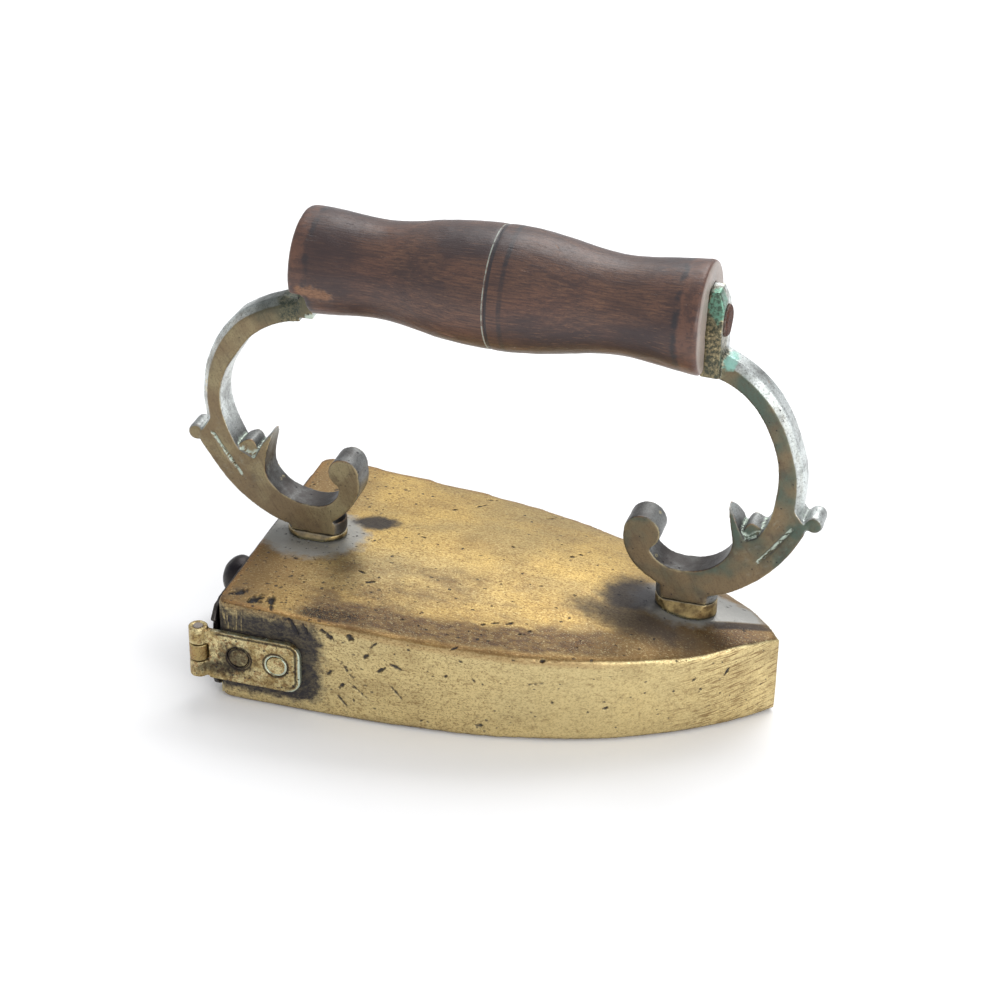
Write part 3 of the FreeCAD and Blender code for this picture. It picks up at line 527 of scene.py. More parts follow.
# ---- brass ----
def body_brass():
    """Old hand-polished brass: gold with brown clouds, fine dark grain and pits; walls painted paler as a
    reflection, a painted highlight and painted shade on the top, near-black darkening round the strap.
    """
    s = Shader("body brass")
    x = s.axis(0)
    top = s.step(s.facing(2), 0.5, 0.8)
    wall = s.minus(1.0, top)
    blotch = s.noise(6, stretch=(2, 1, 1), detail=5, roughness=0.65)
    grain = s.noise(0.42, stretch=(1.6, 1, 1), detail=2, roughness=0.8)
    coarse = s.noise(1.1, stretch=(1.8, 1, 1), detail=4, roughness=0.75)
    streak = s.noise(0.8, stretch=(16, 1, 1), detail=4, roughness=0.7)
    colour = s.mix(s.step(s.noise(20, stretch=(1.7, 1, 1), detail=3), 0.36, 0.62), OLIVE, GOLD)
    # painted reflection: walls paler than the top, where they mirror the bright floor
    colour = s.cover(colour, WALL_REFLECTION_BRASS, wall, 0.75)
    colour = brown_clouds(s, colour, x, top, wall, blotch)
    colour = shoulder_lines(s, colour, x, top, blotch)
    colour = s.cover(colour, BROWN_BRASS, s.step(streak, 0.48, 0.8), 0.5)
    colour = s.cover(colour, BROWN_BRASS, s.step(coarse, 0.5, 0.72), 0.55)
    calm = s.times(wall, s.step(x, *CALM_WALL))
    colour = s.cover(colour, BROWN_BRASS, s.step(grain, 0.5, 0.64), s.between(calm, 0.7, 0.34))
    colour = s.cover(colour, PALE_BRASS, s.step(grain, 0.44, 0.32), 0.3)
    filed, file_marks = toe_file_marks(s, x, wall)
    colour = s.cover(colour, BROWN_BRASS, s.times(filed, s.step(file_marks, 0.48, 0.66)), 0.85)
    colour, patina, soot_and_reflection = pad_patina(s, colour, x)
    # near-black darkening round the strap, with painted contact shade where it touches
    strap_dark = strap_darkening(s, x, wall, blotch)
    colour = s.cover(colour, SOOT, strap_dark, s.between(s.step(coarse, 0.42, 0.6), 0.9, 0.99))
    marks = body_marks(s, x, blotch)
    colour = s.cover(colour, SOOT, marks, 0.8)
    inside = s.step(s.facing(2), -0.3, -0.7)
    colour = s.cover(colour, TARNISH, inside, 0.6)
    dark = s.either(s.either(marks, strap_dark), soot_and_reflection)
    roughness = s.plus(s.between(blotch, 0.36, 0.5), s.times(dark, 0.22))
    roughness = s.plus(roughness, s.times(s.step(grain, 0.45, 0.75), 0.12))
    roughness = s.minus(roughness, s.times(patina, 0.08))
    metallic = s.minus(0.92, s.times(s.either(s.times(dark, 1.4), patina), 0.5))
    height = s.plus(s.swing(grain, 0.06), s.times(streak, 0.04))
    height = s.plus(height, s.times(coarse, 0.05))
    height = s.plus(height, s.times(filed, s.times(file_marks, -0.14)))
    height = s.minus(height, s.times(marks, 0.2))
    return s.surface(colour, roughness, metallic, height)


def brown_clouds(s, colour, x, top, wall, blotch):
    """The slow changes of tone: browner at heel, toe and along the foot of the walls; a painted highlight on
    the top and a dark patch on the toe's top, part stain and part painted shade.
    """
    # painted highlight: a paler pool on the top where it mirrors the studio
    painted_highlight = s.spot(*TOP_PAINTED_HIGHLIGHT, softness=1.4, ragged=0.5, grain=9)
    colour = s.cover(colour, PALE_BRASS, s.times(painted_highlight, top), 0.2)
    clouds = s.step(s.noise(12, stretch=(1.6, 1, 1), detail=5), 0.5, 0.75)
    colour = s.cover(colour, BROWN_BRASS, clouds, 0.4)
    colour = s.cover(colour, TARNISH, s.step(blotch, 0.58, 0.8), 0.4)
    uneven = s.times(blotch, 16)
    heel = s.times(s.step(s.plus(x, uneven), *HEEL_BROWN), top)
    colour = s.cover(colour, BROWN_BRASS, heel, 0.75)
    colour = s.cover(colour, TARNISH, heel, 0.3)
    toe = s.times(s.step(s.plus(x, uneven), *TOE_BROWN), top)
    colour = s.cover(colour, BROWN_BRASS, toe, 0.85)
    colour = s.cover(colour, TARNISH, toe, 0.25)
    # dark patch on the toe's top: part stain, part painted shade
    toe_dark = s.spot(*TOE_DARK_PATCH, softness=0.9, ragged=0.5, turn=28)
    colour = s.cover(colour, TARNISH, s.times(toe_dark, top), 0.95)
    low = s.step(s.plus(s.axis(2), s.times(blotch, 9)), 8.0, 3.4)
    foot = s.times(low, s.step(x, *FOOT_TARNISH))
    colour = s.cover(colour, TARNISH, s.times(foot, wall), 0.7)
    tip = s.times(s.step(s.plus(x, s.times(blotch, 8)), *TIP_BROWN), wall)
    return s.cover(colour, BROWN_BRASS, tip, 0.6)


def shoulder_lines(s, colour, x, top, blotch):
    """Along the top edge: a band of painted shade inside it, a reddish line on it, bare metal near the toe.
    """
    rim = s.stored("rim")
    near = s.step(s.axis(1), 0, -12)
    wavy = s.plus(rim, s.swing(blotch, 6))
    # painted shade: a mottled dark band a few millimetres inside the near top edge
    inside = s.times(s.band(wavy, 6.8, 3.2, 3.6), top)
    band = s.times(inside, s.times(near, s.step(x, *SHOULDER_BAND_TOE)))
    band = s.times(band, s.step(x, *SHOULDER_BAND_HEEL))
    mottle = s.between(s.step(s.noise(1.6, stretch=(2, 1, 1), detail=4), 0.38, 0.6), 0.8, 1.0)
    colour = s.cover(colour, TARNISH, band, mottle)
    # painted shade: the darkest stretch of that band, near the heel
    edge_shade = s.spot(*EDGE_SHADE, softness=0.9, ragged=0.6, turn=10)
    colour = s.cover(colour, SOOT, edge_shade, 0.85)
    line = s.times(s.band(rim, 0.5, 0.8, 1.5), s.step(x, *RUST_LINE))
    colour = s.cover(colour, RUST_BRASS, line, 0.45)
    bare = s.times(s.band(rim, 0.1, 0.45, 0.5), s.step(x, *BARE_EDGE))
    return s.cover(colour, PALE_BRASS, bare, 0.9)


def toe_file_marks(s, x, wall):
    """Where the walls were filed near the toe, and the slanting marks themselves."""
    marks = s.noise(0.34, stretch=(14, 14, 1), detail=2, roughness=0.6, turn=(0, 0.2, 0))
    place = s.step(s.plus(x, s.times(s.noise(9, detail=4), 34)), *FILED_WALL)
    return s.times(place, wall), marks


def strap_darkening(s, x, wall, blotch):
    """Near-black darkening above, in front of and below the strap, broken by scratches near the heel, and
    painted contact shade where the strap touches.
    """
    z = s.axis(2)
    ahead = s.times(s.either(s.minus(x, STRAP_HIGH.x / MM), 0.0), 1 / 6.0)
    above = s.times(s.either(s.minus(z, STRAP_HIGH.z / MM), 0.0), 1 / 7.5)
    below = s.times(s.either(s.minus(STRAP_LOW.z / MM, z), 0.0), 1 / 4.2)
    upright = s.either(above, below)
    away = s.length(ahead, upright)
    ragged = s.swing(s.noise(2.2, detail=5, roughness=0.7), 1.5)
    away = s.plus(s.plus(away, ragged), s.swing(blotch, 0.4))
    near = s.step(s.axis(1), -30, -36)
    strap_dark = s.times(s.times(s.step(away, 1.25, 0.5), near), s.either(wall, s.step(x, -52, -62)))
    scratches = s.step(s.noise(0.35, stretch=(1, 1, 12), detail=3), 0.56, 0.66)
    scratched = s.times(s.times(scratches, s.step(x, -57, -60)), s.step(z, 21, 23))
    strap_dark = s.times(strap_dark, s.between(scratched, 1.0, 0.35))
    # painted contact shade close to the strap
    edge = s.step(s.plus(s.stored("contact_shade"), s.swing(blotch, 0.5)), 0.35, 0.75)
    return s.either(strap_dark, edge)


def body_marks(s, x, blotch):
    """Pits, nicks and the carved scars; nicks and crowded specks come near the heel."""
    busy = s.step(s.plus(x, s.times(blotch, 26)), *BUSY_HEEL)
    pits = s.pits(3.4, 0.5, 0.42)
    fine = s.pits(1.7, 0.34, 0.45, stretch=(1.8, 1, 1))
    nicks = s.pits(1.9, 0.42, 0.55, stretch=(1, 1, 2.2), turn=(0, 0.7, 0))
    chunky = s.times(s.pits(4.2, 0.6, 0.4, stretch=(1, 1, 1.6), turn=(0, 0.5, 0)), busy)
    crowd = s.pits(1.1, 0.32, 0.5, stretch=(1.4, 1, 1))
    marks = s.either(pits, s.times(fine, 0.8))
    marks = s.either(marks, s.times(s.either(nicks, s.times(crowd, 0.8)), busy))
    marks = s.either(marks, chunky)
    return s.either(marks, s.times(s.stored("scar"), 1.2))


def by_pad(s, end, offset, size, **looks):
    """An oval on the top, placed from the middle of one foot pad."""
    pad = PADS[end]
    return s.spot((pad.x + offset[0], pad.y + offset[1], pad.z), (*size, PAD_STAIN_HEIGHT), **looks)


def pad_patina(s, colour, x):
    """Smooth grey patina round both foot pads, its pale grey partly a painted reflection of the white studio;
    a soot patch beside each, and a dark line across the toe painted as the reflection of the front post.
    """
    top = s.step(s.facing(2), 0.5, 0.8)
    slope = s.minus(s.axis(1), s.times(x, TOE_LINE_SLOPE))
    # grey patina round the pads; its pale grey is partly painted reflection
    grey = by_pad(s, "rear", (-1, -1), (15, 13), softness=0.35, ragged=0.25)
    toe_grey = by_pad(s, "front", (7, 1), (16, 10), softness=0.3, ragged=0.2)
    toe_grey = s.times(toe_grey, s.step(slope, TOE_LINE_AT - 0.6, TOE_LINE_AT + 0.6))
    grey = s.either(grey, toe_grey)
    grey = s.either(grey, by_pad(s, "front", (-2, 0), (12.5, 9), softness=0.4, ragged=0.3))
    soot_and_reflection = by_pad(s, "rear", (14, 10), (6.4, 3.8), softness=0.7, ragged=0.4, turn=10)
    soot_and_reflection = s.either(soot_and_reflection, by_pad(s, "front", (-14.5, -1.5), (8.5, 9), softness=0.9, ragged=0.3))
    tail = by_pad(s, "front", (-10, -12), (17, 5), softness=1.2, ragged=0.4, turn=-6)
    # painted reflection of the front post: the dark line across the toe
    line = s.times(s.band(slope, TOE_LINE_AT - 1.7, 1.0, 1.3),
                   by_pad(s, "front", (14, 0), (10, 7), softness=0.5, ragged=0.3))
    soot_and_reflection = s.either(soot_and_reflection, s.times(s.either(tail, line), 0.8))
    grey = s.times(grey, top)
    soot_and_reflection = s.times(soot_and_reflection, top)
    colour = s.cover(colour, GREY_SHEEN, grey, 0.85)
    colour = s.cover(colour, SOOT, soot_and_reflection, 0.93)
    return colour, grey, soot_and_reflection


def post_brass(name, ground, tint, side):
    """Cast brass: brown flat faces; on the sides a pale grey painted reflection, darker low down and with
    painted shade in the scroll's bowl; worn edges, green in the recesses.

    side is -1 for the rear post and 1 for the front one.
    """
    s = Shader(name)
    blotch = s.noise(6, detail=5, roughness=0.6)
    cloud = s.noise(14, detail=3)
    grain = s.noise(0.5, detail=3, roughness=0.8)
    streak = s.noise(0.7, stretch=(1, 1, 7), detail=4, roughness=0.7, turn=(0, 0.5, 0))
    face = s.step(s.math("ABSOLUTE", s.facing(1)), 0.62, 0.88)
    colour = s.mix(s.step(cloud, 0.36, 0.64), ground, tint)
    colour = s.cover(colour, TARNISH, s.step(blotch, 0.5, 0.75), 0.55)
    colour = s.cover(colour, TARNISH, s.step(streak, 0.5, 0.72), 0.4)
    colour = s.cover(colour, TARNISH, s.step(grain, 0.48, 0.7), 0.45)
    # painted reflection: the sides pale grey-white, mottled darker
    grey = s.cover(SIDE_SHEEN_GREY, SIDE_DARK, s.step(blotch, 0.42, 0.72), 0.6)
    grey = s.cover(grey, SIDE_DARK, s.step(grain, 0.46, 0.66), 0.55)
    z = s.axis(2)
    # the painted reflection darker low down on the post
    low = s.step(s.plus(z, s.times(blotch, 14)), 74, 62)
    grey = s.cover(grey, SIDE_DARK, low, s.between(s.step(cloud, 0.4, 0.6), 0.75, 0.98))
    # painted shade in the upward-facing bowl of the lower scroll
    bowl = s.times(s.step(s.facing(2), 0.2, 0.8), s.step(s.plus(z, s.times(blotch, 6)), 56, 48))
    grey = s.cover(grey, SIDE_DARK, bowl, s.between(s.step(blotch, 0.4, 0.6), 0.55, 0.9))
    colour = s.mix(face, grey, colour)
    worn = s.times(s.edges(0.515, 0.575), s.step(s.noise(3, detail=4), 0.34, 0.56))
    colour = s.cover(colour, s.mix(s.step(cloud, 0.4, 0.6), PALE_BRASS, RUST_BRASS), worn, 0.7)
    colour = s.cover(colour, GREEN_BLACK, s.edges(0.485, 0.43), 0.8)
    colour = vein_verdigris(s, colour, side)
    colour = lug_dirt(s, colour, side)
    pits = s.either(s.pits(2.6, 0.42, 0.3), s.times(s.pits(1.2, 0.3, 0.4), s.step(blotch, 0.5, 0.6)))
    colour = s.cover(colour, SOOT, pits, 0.75)
    roughness = s.plus(s.between(blotch, 0.34, 0.5), s.times(s.either(pits, low), 0.15))
    metallic = s.between(face, 0.95, 0.6)
    height = s.plus(s.times(grain, 0.05), s.times(streak, 0.05))
    height = s.plus(height, s.times(pits, -0.15))
    return s.surface(colour, roughness, metallic, height, coat=0.15, coat_roughness=0.25)


def vein_verdigris(s, colour, side):
    """Pale green crust in the groove between leaf and band, thin and broken."""
    place = s.spot((side * VEIN_X, 0, VEIN_Z), (11, 20, 12), softness=0.6, ragged=0.4)
    along = s.noise(0.8, stretch=(1, 1, 3), detail=4, roughness=0.7, turn=(0, -0.85, 0))
    crust = s.times(s.times(s.edges(0.502, 0.475), s.step(along, 0.44, 0.54)), place)
    return s.cover(colour, PALE_VERDIGRIS, crust, 0.85)


def lug_dirt(s, colour, side):
    """Dull, speckled metal where the post holds the grip, with green crust."""
    end = side * GRIP_END_MM
    crumbs = s.noise(0.9, detail=5, roughness=0.75)
    lug = s.spot((end + side * 1.4, -4, 112), (4.4, 8, 16), softness=0.4, ragged=0.4)
    colour = s.cover(colour, POST_OLIVE, lug, 0.65)
    colour = s.cover(colour, GREEN_BLACK, lug, s.between(s.step(crumbs, 0.46, 0.56), 0.1, 0.85))
    colour = s.cover(colour, PALE_BRASS, lug, s.times(s.step(crumbs, 0.4, 0.34), 0.7))
    if side < 0:
        return rear_lug_shade(s, colour, end)
    return front_lug_crust(s, colour, end, crumbs)


def rear_lug_shade(s, colour, end):
    """The band goes dark towards the grip, and a little pale crust sits under the wood."""
    shade = s.spot((end - 7, -4, 106), (13, 11, 9), softness=0.9, ragged=0.4, grain=4)
    colour = s.cover(colour, GREEN_BLACK, shade, 0.72)
    crust = s.spot((end + 5.0, -6, 100), (1.8, 3, 1.8), softness=0.5, ragged=0.6, grain=1.2)
    return s.cover(colour, PALE_VERDIGRIS, crust, 0.8)


def front_lug_crust(s, colour, end, crumbs):
    """Crumbling green on the upper lug, and a paler strip where lug and band meet."""
    upper = s.spot((end + 2.4, -3.4, 121.4), (2.6, 4.6, 4.6), softness=0.3, ragged=0.6, grain=1.4)
    lower = s.spot((end + 6.0, -1.5, 104.6), (1.9, 4, 2.0), softness=0.5, ragged=0.5, grain=1.2)
    crumbled = s.between(s.step(crumbs, 0.56, 0.46), 0.2, 0.8)
    colour = s.cover(colour, DEEP_VERDIGRIS, upper, crumbled)
    return s.cover(colour, VERDIGRIS, lower, s.either(crumbled, 0.75))


def pad_brass():
    """The foot pads: dull brass, a painted grey highlight on the upward ledge, green-black painted shade
    where they meet the body.
    """
    s = Shader("pad brass")
    blotch = s.noise(3, detail=5)
    grain = s.noise(0.5, detail=3, roughness=0.8)
    up = s.step(s.facing(2), 0.4, 0.8)
    colour = s.mix(s.step(blotch, 0.35, 0.65), PAD_BROWN, OLIVE)
    # painted highlight on the upward-facing ledge
    colour = s.cover(colour, GREY_SHEEN, up, 0.4)
    colour = s.cover(colour, TARNISH, s.step(grain, 0.48, 0.7), 0.5)
    # green-black painted contact shade where the pad meets the body
    contact_shade = s.stored("contact_shade")
    colour = s.cover(colour, GREEN_BLACK, s.step(contact_shade, 0.3, 0.75), 0.85)
    colour = s.cover(colour, PALE_BRASS, s.edges(0.525, 0.58), 0.8)
    return s.surface(colour, s.between(blotch, 0.3, 0.5), 0.9, s.times(grain, 0.05), coat=0.1)


def hinge_brass(name, ground, pitting):
    """Worn hinge brass, pitted, with brown stains and pale worn edges."""
    s = Shader(name)
    colour, grain, blotch = stained_brass(s, ground)
    colour = s.cover(colour, PALE_BRASS, s.edges(0.515, 0.57), 0.6)
    return finish_hinge(s, colour, grain, blotch, pitting)


def stained_brass(s, ground):
    """The start of a hinge brass: its colour, fine grain and blotches."""
    blotch = s.noise(4, detail=5, roughness=0.65)
    grain = s.noise(0.5, detail=3, roughness=0.8)
    colour = s.mix(s.step(blotch, 0.35, 0.65), ground, OLIVE)
    stains = s.step(s.noise(1.3, detail=5, roughness=0.7), 0.48, 0.6)
    colour = s.cover(colour, s.mix(s.step(blotch, 0.4, 0.6), RUST_BRASS, BROWN_BRASS), stains, 0.75)
    colour = s.cover(colour, TARNISH, s.step(grain, 0.48, 0.66), 0.7)
    return colour, grain, blotch


def finish_hinge(s, colour, grain, blotch, pitting):
    """The end of a hinge brass: black crevices and pits."""
    colour = s.cover(colour, SOOT, s.edges(0.485, 0.42), 0.85)
    marks = s.pits(1.6, 0.36, pitting)
    colour = s.cover(colour, SOOT, marks, 0.8)
    height = s.plus(s.times(grain, 0.07), s.times(marks, -0.2))
    roughness = s.plus(s.between(blotch, 0.34, 0.5), s.times(marks, 0.2))
    return s.surface(colour, roughness, s.minus(1.0, s.times(marks, 0.6)), height)


def strap_brass():
    """The strap: a painted highlight along its lit edges, one rivet worn black, one crisp."""
    s = Shader("strap brass")
    colour, grain, blotch = stained_brass(s, PALE_BRASS)
    x, z = s.axis(0), s.axis(2)
    colour = strap_edge_lines(s, colour, x, z)
    near, far = RIVETS_LOW.x / MM + RIVET_RADIUS, RIVETS_HIGH.x / MM - RIVET_RADIUS
    face_y = STRAP_LOW.y / MM
    by_rivet = (near - 1.5, face_y, STRAP_MIDDLE_Z - 0.5)
    stain = s.spot(by_rivet, (5.6, 5, 5.2), softness=0.8, ragged=0.9, grain=1.6)
    colour = s.cover(colour, SOOT, stain, 0.75)
    lower_corner = (near - 6, face_y, STRAP_MIDDLE_Z - 4)
    foot = s.spot(lower_corner, (6, 5, 2.2), softness=0.8, ragged=0.6, grain=1.6)
    colour = s.cover(colour, SOOT, foot, 0.75)
    for centre_x, ring_colour in ((near, SOOT), (far, PALE_VERDIGRIS)):
        away = rivet_distance(s, x, z, centre_x, STRAP_MIDDLE_Z)
        colour = s.cover(colour, SOOT, s.band(away, RIVET_RADIUS + 0.3, 0.15, 0.3), 0.8)
        ring = s.band(away, RIVET_RADIUS - 0.35, 0.12, 0.25)
        colour = s.cover(colour, ring_colour, ring, 0.8)
    return finish_hinge(s, colour, grain, blotch, pitting=0.5)


def strap_edge_lines(s, colour, x, z):
    """A green-white painted highlight along the strap's lit top and toe-end edges, with a dark line inside
    it.
    """
    corner = 3.4
    toe_end = STRAP_HIGH.x / MM
    heel_end = STRAP_LOW.x / MM
    ahead = s.either(s.minus(x, toe_end - corner), 0.0)
    upright = s.math("ABSOLUTE", s.minus(z, STRAP_MIDDLE_Z))
    upright = s.either(s.minus(upright, STRAP_HALF_HEIGHT - corner), 0.0)
    away = s.length(ahead, upright)
    away = s.plus(away, s.swing(s.noise(1.5, detail=3), 0.6))
    lit = s.either(s.step(z, STRAP_MIDDLE_Z, STRAP_MIDDLE_Z + 2), s.step(x, toe_end - 5, toe_end - 2))
    lit = s.times(lit, s.step(x, heel_end + 6, heel_end + 9))
    inner_line = s.times(s.band(away, corner - 1.35, 0.2, 0.35), lit)
    colour = s.cover(colour, SOOT, inner_line, 0.8)
    # painted highlight along the lit edges
    edge_highlight = s.times(s.step(away, corner - 0.85, corner - 0.5), lit)
    return s.cover(colour, PALE_VERDIGRIS, edge_highlight, 0.85)


def rivet_distance(s, x, z, centre_x, centre_z):
    """Millimetres from the middle of a rivet, a little uneven."""
    away = s.length(s.minus(x, centre_x), s.minus(z, centre_z))
    return s.plus(away, s.swing(s.noise(1.2), 0.5))


def sole_brass():
    """The ironing face: bright from use, with fine lengthwise scratches."""
    s = Shader("sole brass")
    cloud = s.noise(24, detail=4)
    fine = s.noise(0.35, stretch=(30, 1, 1), detail=3, roughness=0.7)
    colour = s.mix(s.step(cloud, 0.35, 0.65), GOLD, PALE_BRASS)
    colour = s.cover(colour, BROWN_BRASS, s.step(fine, 0.5, 0.75), 0.4)
    stain = s.step(s.noise(12, detail=5), 0.58, 0.75)
    colour = s.cover(colour, TARNISH, stain, 0.5)
    inside = s.step(s.facing(2), 0.3, 0.7)
    colour = s.cover(colour, TARNISH, inside, 0.8)
    roughness = s.plus(s.between(fine, 0.18, 0.36), s.times(inside, 0.3))
    return s.surface(colour, roughness, 1.0, s.times(fine, 0.04))


# ---- wood ----
def grip_wood():
    """Turned fruitwood dark with handling: fine grain, a knot, scorched rings and red rims."""
    s = Shader("grip wood")
    x, y, z = (s.axis(index) for index in range(3))
    ring = s.length(s.minus(y, HEART_BEHIND), s.minus(z, GRIP_AXIS_Z / MM - HEART_BELOW))
    warp = s.noise(16, stretch=(3.5, 1, 1), detail=2)
    growth = s.math("SINE", s.plus(s.times(ring, 2.6), s.times(warp, 26)))
    fibre = s.noise(0.45, stretch=(22, 1, 1), detail=4, roughness=0.65)
    pores = s.pits(1.3, 0.3, 0.5, stretch=(5, 1, 1))
    cloud = s.noise(14, stretch=(1.6, 1, 1), detail=4)
    colour = s.mix(s.step(cloud, 0.34, 0.62), WOOD_DARK, WOOD)
    reddish = s.step(s.noise(9, stretch=(2, 1, 1), detail=4), 0.48, 0.68)
    colour = s.cover(colour, WOOD_RED, reddish, 0.55)
    colour = s.cover(colour, WOOD_DARK, s.step(growth, 0.1, 0.95), 0.32)
    colour = s.cover(colour, WOOD_DARK, s.step(fibre, 0.46, 0.62), 0.6)
    colour = s.cover(colour, WOOD_BARE, s.step(fibre, 0.44, 0.34), 0.28)
    speckle = s.noise(0.4, stretch=(2.5, 1, 1), detail=3, roughness=0.8)
    colour = s.cover(colour, WOOD_DARK, s.step(speckle, 0.5, 0.66), 0.55)
    colour = grip_rings(s, colour, x, warp)
    blots = s.step(s.noise(4.5, stretch=(1.5, 1, 1), detail=4), 0.6, 0.76)
    smear = s.spot(*GRIP_SMEAR, softness=0.9, ragged=0.6, grain=4)
    colour = s.cover(colour, WOOD_DARK, s.either(blots, smear), 0.6)
    knot = s.spot(*GRIP_KNOT, softness=0.7, ragged=0.5, grain=1.5)
    colour = s.cover(colour, WOOD_DARK, knot, 0.8)
    specks = s.times(s.pits(2.2, 0.3, 0.2), s.step(z, 108, 101))
    colour = s.cover(colour, WOOD_PALE, specks, 0.6)
    bare = s.stored("bare")
    colour = s.cover(colour, WOOD_BARE, bare, s.between(s.step(speckle, 0.44, 0.6), 0.85, 0.4))
    face = s.step(s.math("ABSOLUTE", s.facing(0)), 0.6, 0.9)
    colour = s.cover(colour, WOOD_PALE, face, s.between(cloud, 0.2, 0.6))
    roughness = s.plus(s.between(bare, 0.42, 0.6), s.times(s.step(speckle, 0.45, 0.65), 0.12))
    height = s.plus(s.times(fibre, 0.08), s.times(growth, 0.012))
    height = s.plus(height, s.times(speckle, 0.05))
    height = s.minus(height, s.times(pores, 0.08))
    return s.surface(colour, roughness, 0.0, height, coat=0.2, coat_roughness=0.3)


def grip_rings(s, colour, x, warp):
    """Red-brown ends, scorched rings inside them and beside the middle, and the pale middle line."""
    end = s.math("ABSOLUTE", x)
    ragged = s.swing(s.noise(1.6, detail=4), 2.2)
    rim = s.step(s.plus(s.plus(end, s.times(warp, 2.0)), ragged), RIM_START, RIM_START + 1.4)
    mottle = s.between(s.step(s.noise(2.4, detail=4, roughness=0.7), 0.4, 0.6), 0.2, 0.75)
    colour = s.cover(colour, WOOD_RED, rim, mottle)
    uneven = s.plus(s.plus(end, s.times(warp, 1.6)), s.times(ragged, 0.5))
    scorch = s.times(s.band(uneven, END_RING, 0.3, 1.1), s.step(s.noise(3.5, detail=3), 0.36, 0.6))
    second = s.band(s.plus(x, s.times(warp, 0.8)), SECOND_RING, 0.25, 0.7)
    second = s.times(second, s.between(s.step(s.noise(3, detail=3), 0.4, 0.6), 0.5, 1.0))
    groove = s.band(x, MIDDLE_GROOVE, 0.3, 0.3)
    scorch = s.either(scorch, s.either(second, groove))
    colour = s.cover(colour, SOOT, scorch, 0.85)
    line = s.times(s.band(x, MIDDLE_LINE, 0.08, 0.14), s.step(s.noise(2.5), 0.3, 0.5))
    return s.cover(colour, PALE_VERDIGRIS, line, 0.42)


# ---- iron ----
def iron(name, ground, worn_colour, rust_share, grain_size, relief):
    """Black iron with worn edges and a share of rust."""
    s = Shader(name)
    blotch = s.noise(6, detail=5, roughness=0.6)
    grain = s.noise(grain_size, detail=4, roughness=0.7)
    rust = s.times(s.step(s.plus(s.noise(5, detail=5, roughness=0.7), rust_share), 0.62, 0.8), 0.9)
    colour = s.mix(s.step(blotch, 0.35, 0.65), ground, SOOT)
    colour = s.mix(rust, colour, s.mix(s.step(grain, 0.4, 0.62), RUST_DARK, RUST))
    colour = s.cover(colour, worn_colour, s.edges(0.52, 0.58), 0.6)
    pits = s.pits(2.0, 0.45, 0.3)
    colour = s.cover(colour, SOOT, pits, 0.6)
    roughness = s.plus(s.between(blotch, 0.38, 0.55), s.times(rust, 0.3))
    height = s.plus(s.times(grain, relief), s.times(pits, -0.15))
    return s.surface(colour, roughness, s.minus(0.85, s.times(rust, 0.8)), height)


# ---- pieces ----
def top_point(tree, x, y):
    """Where the top lies at a place given in millimetres."""
    return tree.ray_cast(Vector((x * MM, y * MM, RAY_START)), Vector((0, 0, -1)))[0]


def wall_point(tree, x, z, side):
    """Where the near wall (side -1) or the far wall (side 1) lies at a place in millimetres."""
    return tree.ray_cast(Vector((x * MM, side * RAY_START, z * MM)), Vector((0, -side, 0)))[0]


def top_mark(tree, x0, y0, x1, y1, half_width, depth):
    return (top_point(tree, x0, y0), top_point(tree, x1, y1), half_width * MM, depth * MM)


def wall_mark(tree, x0, z0, x1, z1, half_width, depth):
    return (wall_point(tree, x0, z0, -1), wall_point(tree, x1, z1, -1), half_width * MM, depth * MM)


def random_nicks(tree):
    """Small knocks on the top and both walls, more of them toward the heel."""
    dice = random.Random(SEED)
    marks = []
    while len(marks) < NICK_COUNT:
        x = HEEL_MM + 2 + (TOE_MM - HEEL_MM - 14) * dice.random() ** 1.5
        turn = dice.uniform(-1.2, 0.4)
        length = dice.uniform(0.2, 1.2)
        width = dice.uniform(0.2, 0.5)
        across, along = length * math.cos(turn), length * math.sin(turn)
        place = dice.random()
        if place < NICKS_ON_TOP:
            y = dice.uniform(-38, 38)
            start, end = top_point(tree, x, y), top_point(tree, x + across, y + along)
        else:
            side = -1 if place < NICKS_ON_TOP + NICKS_ON_NEAR_WALL else 1
            z = dice.uniform(3, 25)
            start, end = wall_point(tree, x, z, side), wall_point(tree, x + across, z + along, side)
        if start and end and min(start.z, end.z) > LOWEST_NICK * MM:
            if (end - start).length < LONGEST_NICK * MM:
                marks.append((start, end, width * MM, width * 0.6 * MM))
    return marks


def make_body_shell():
    piece = copy_of("box_casting", voxel=0.95 * MM, rounds=3)
    tree = tree_of([piece])
    marks = [top_mark(tree, *dent) for dent in TOP_DENTS]
    marks += [wall_mark(tree, *dent) for dent in WALL_DENTS]
    marks += random_nicks(tree)
    refine(piece, marks, margin=0.9 * MM)
    refine(piece, marks, margin=0.3 * MM)
    roughen(piece, size=22 * MM, depth=0.3 * MM)
    roughen(piece, size=5 * MM, depth=0.08 * MM)
    carve(piece, marks, "scar")
    rim_layer(piece, reach=12.0)
    # painted contact shade where the strap touches the body
    contact_shade_layer(piece, ("hinge_strap",), CONTACT_SHADE_REACH)
    finish_piece(piece, "body", "box_casting", body_brass())


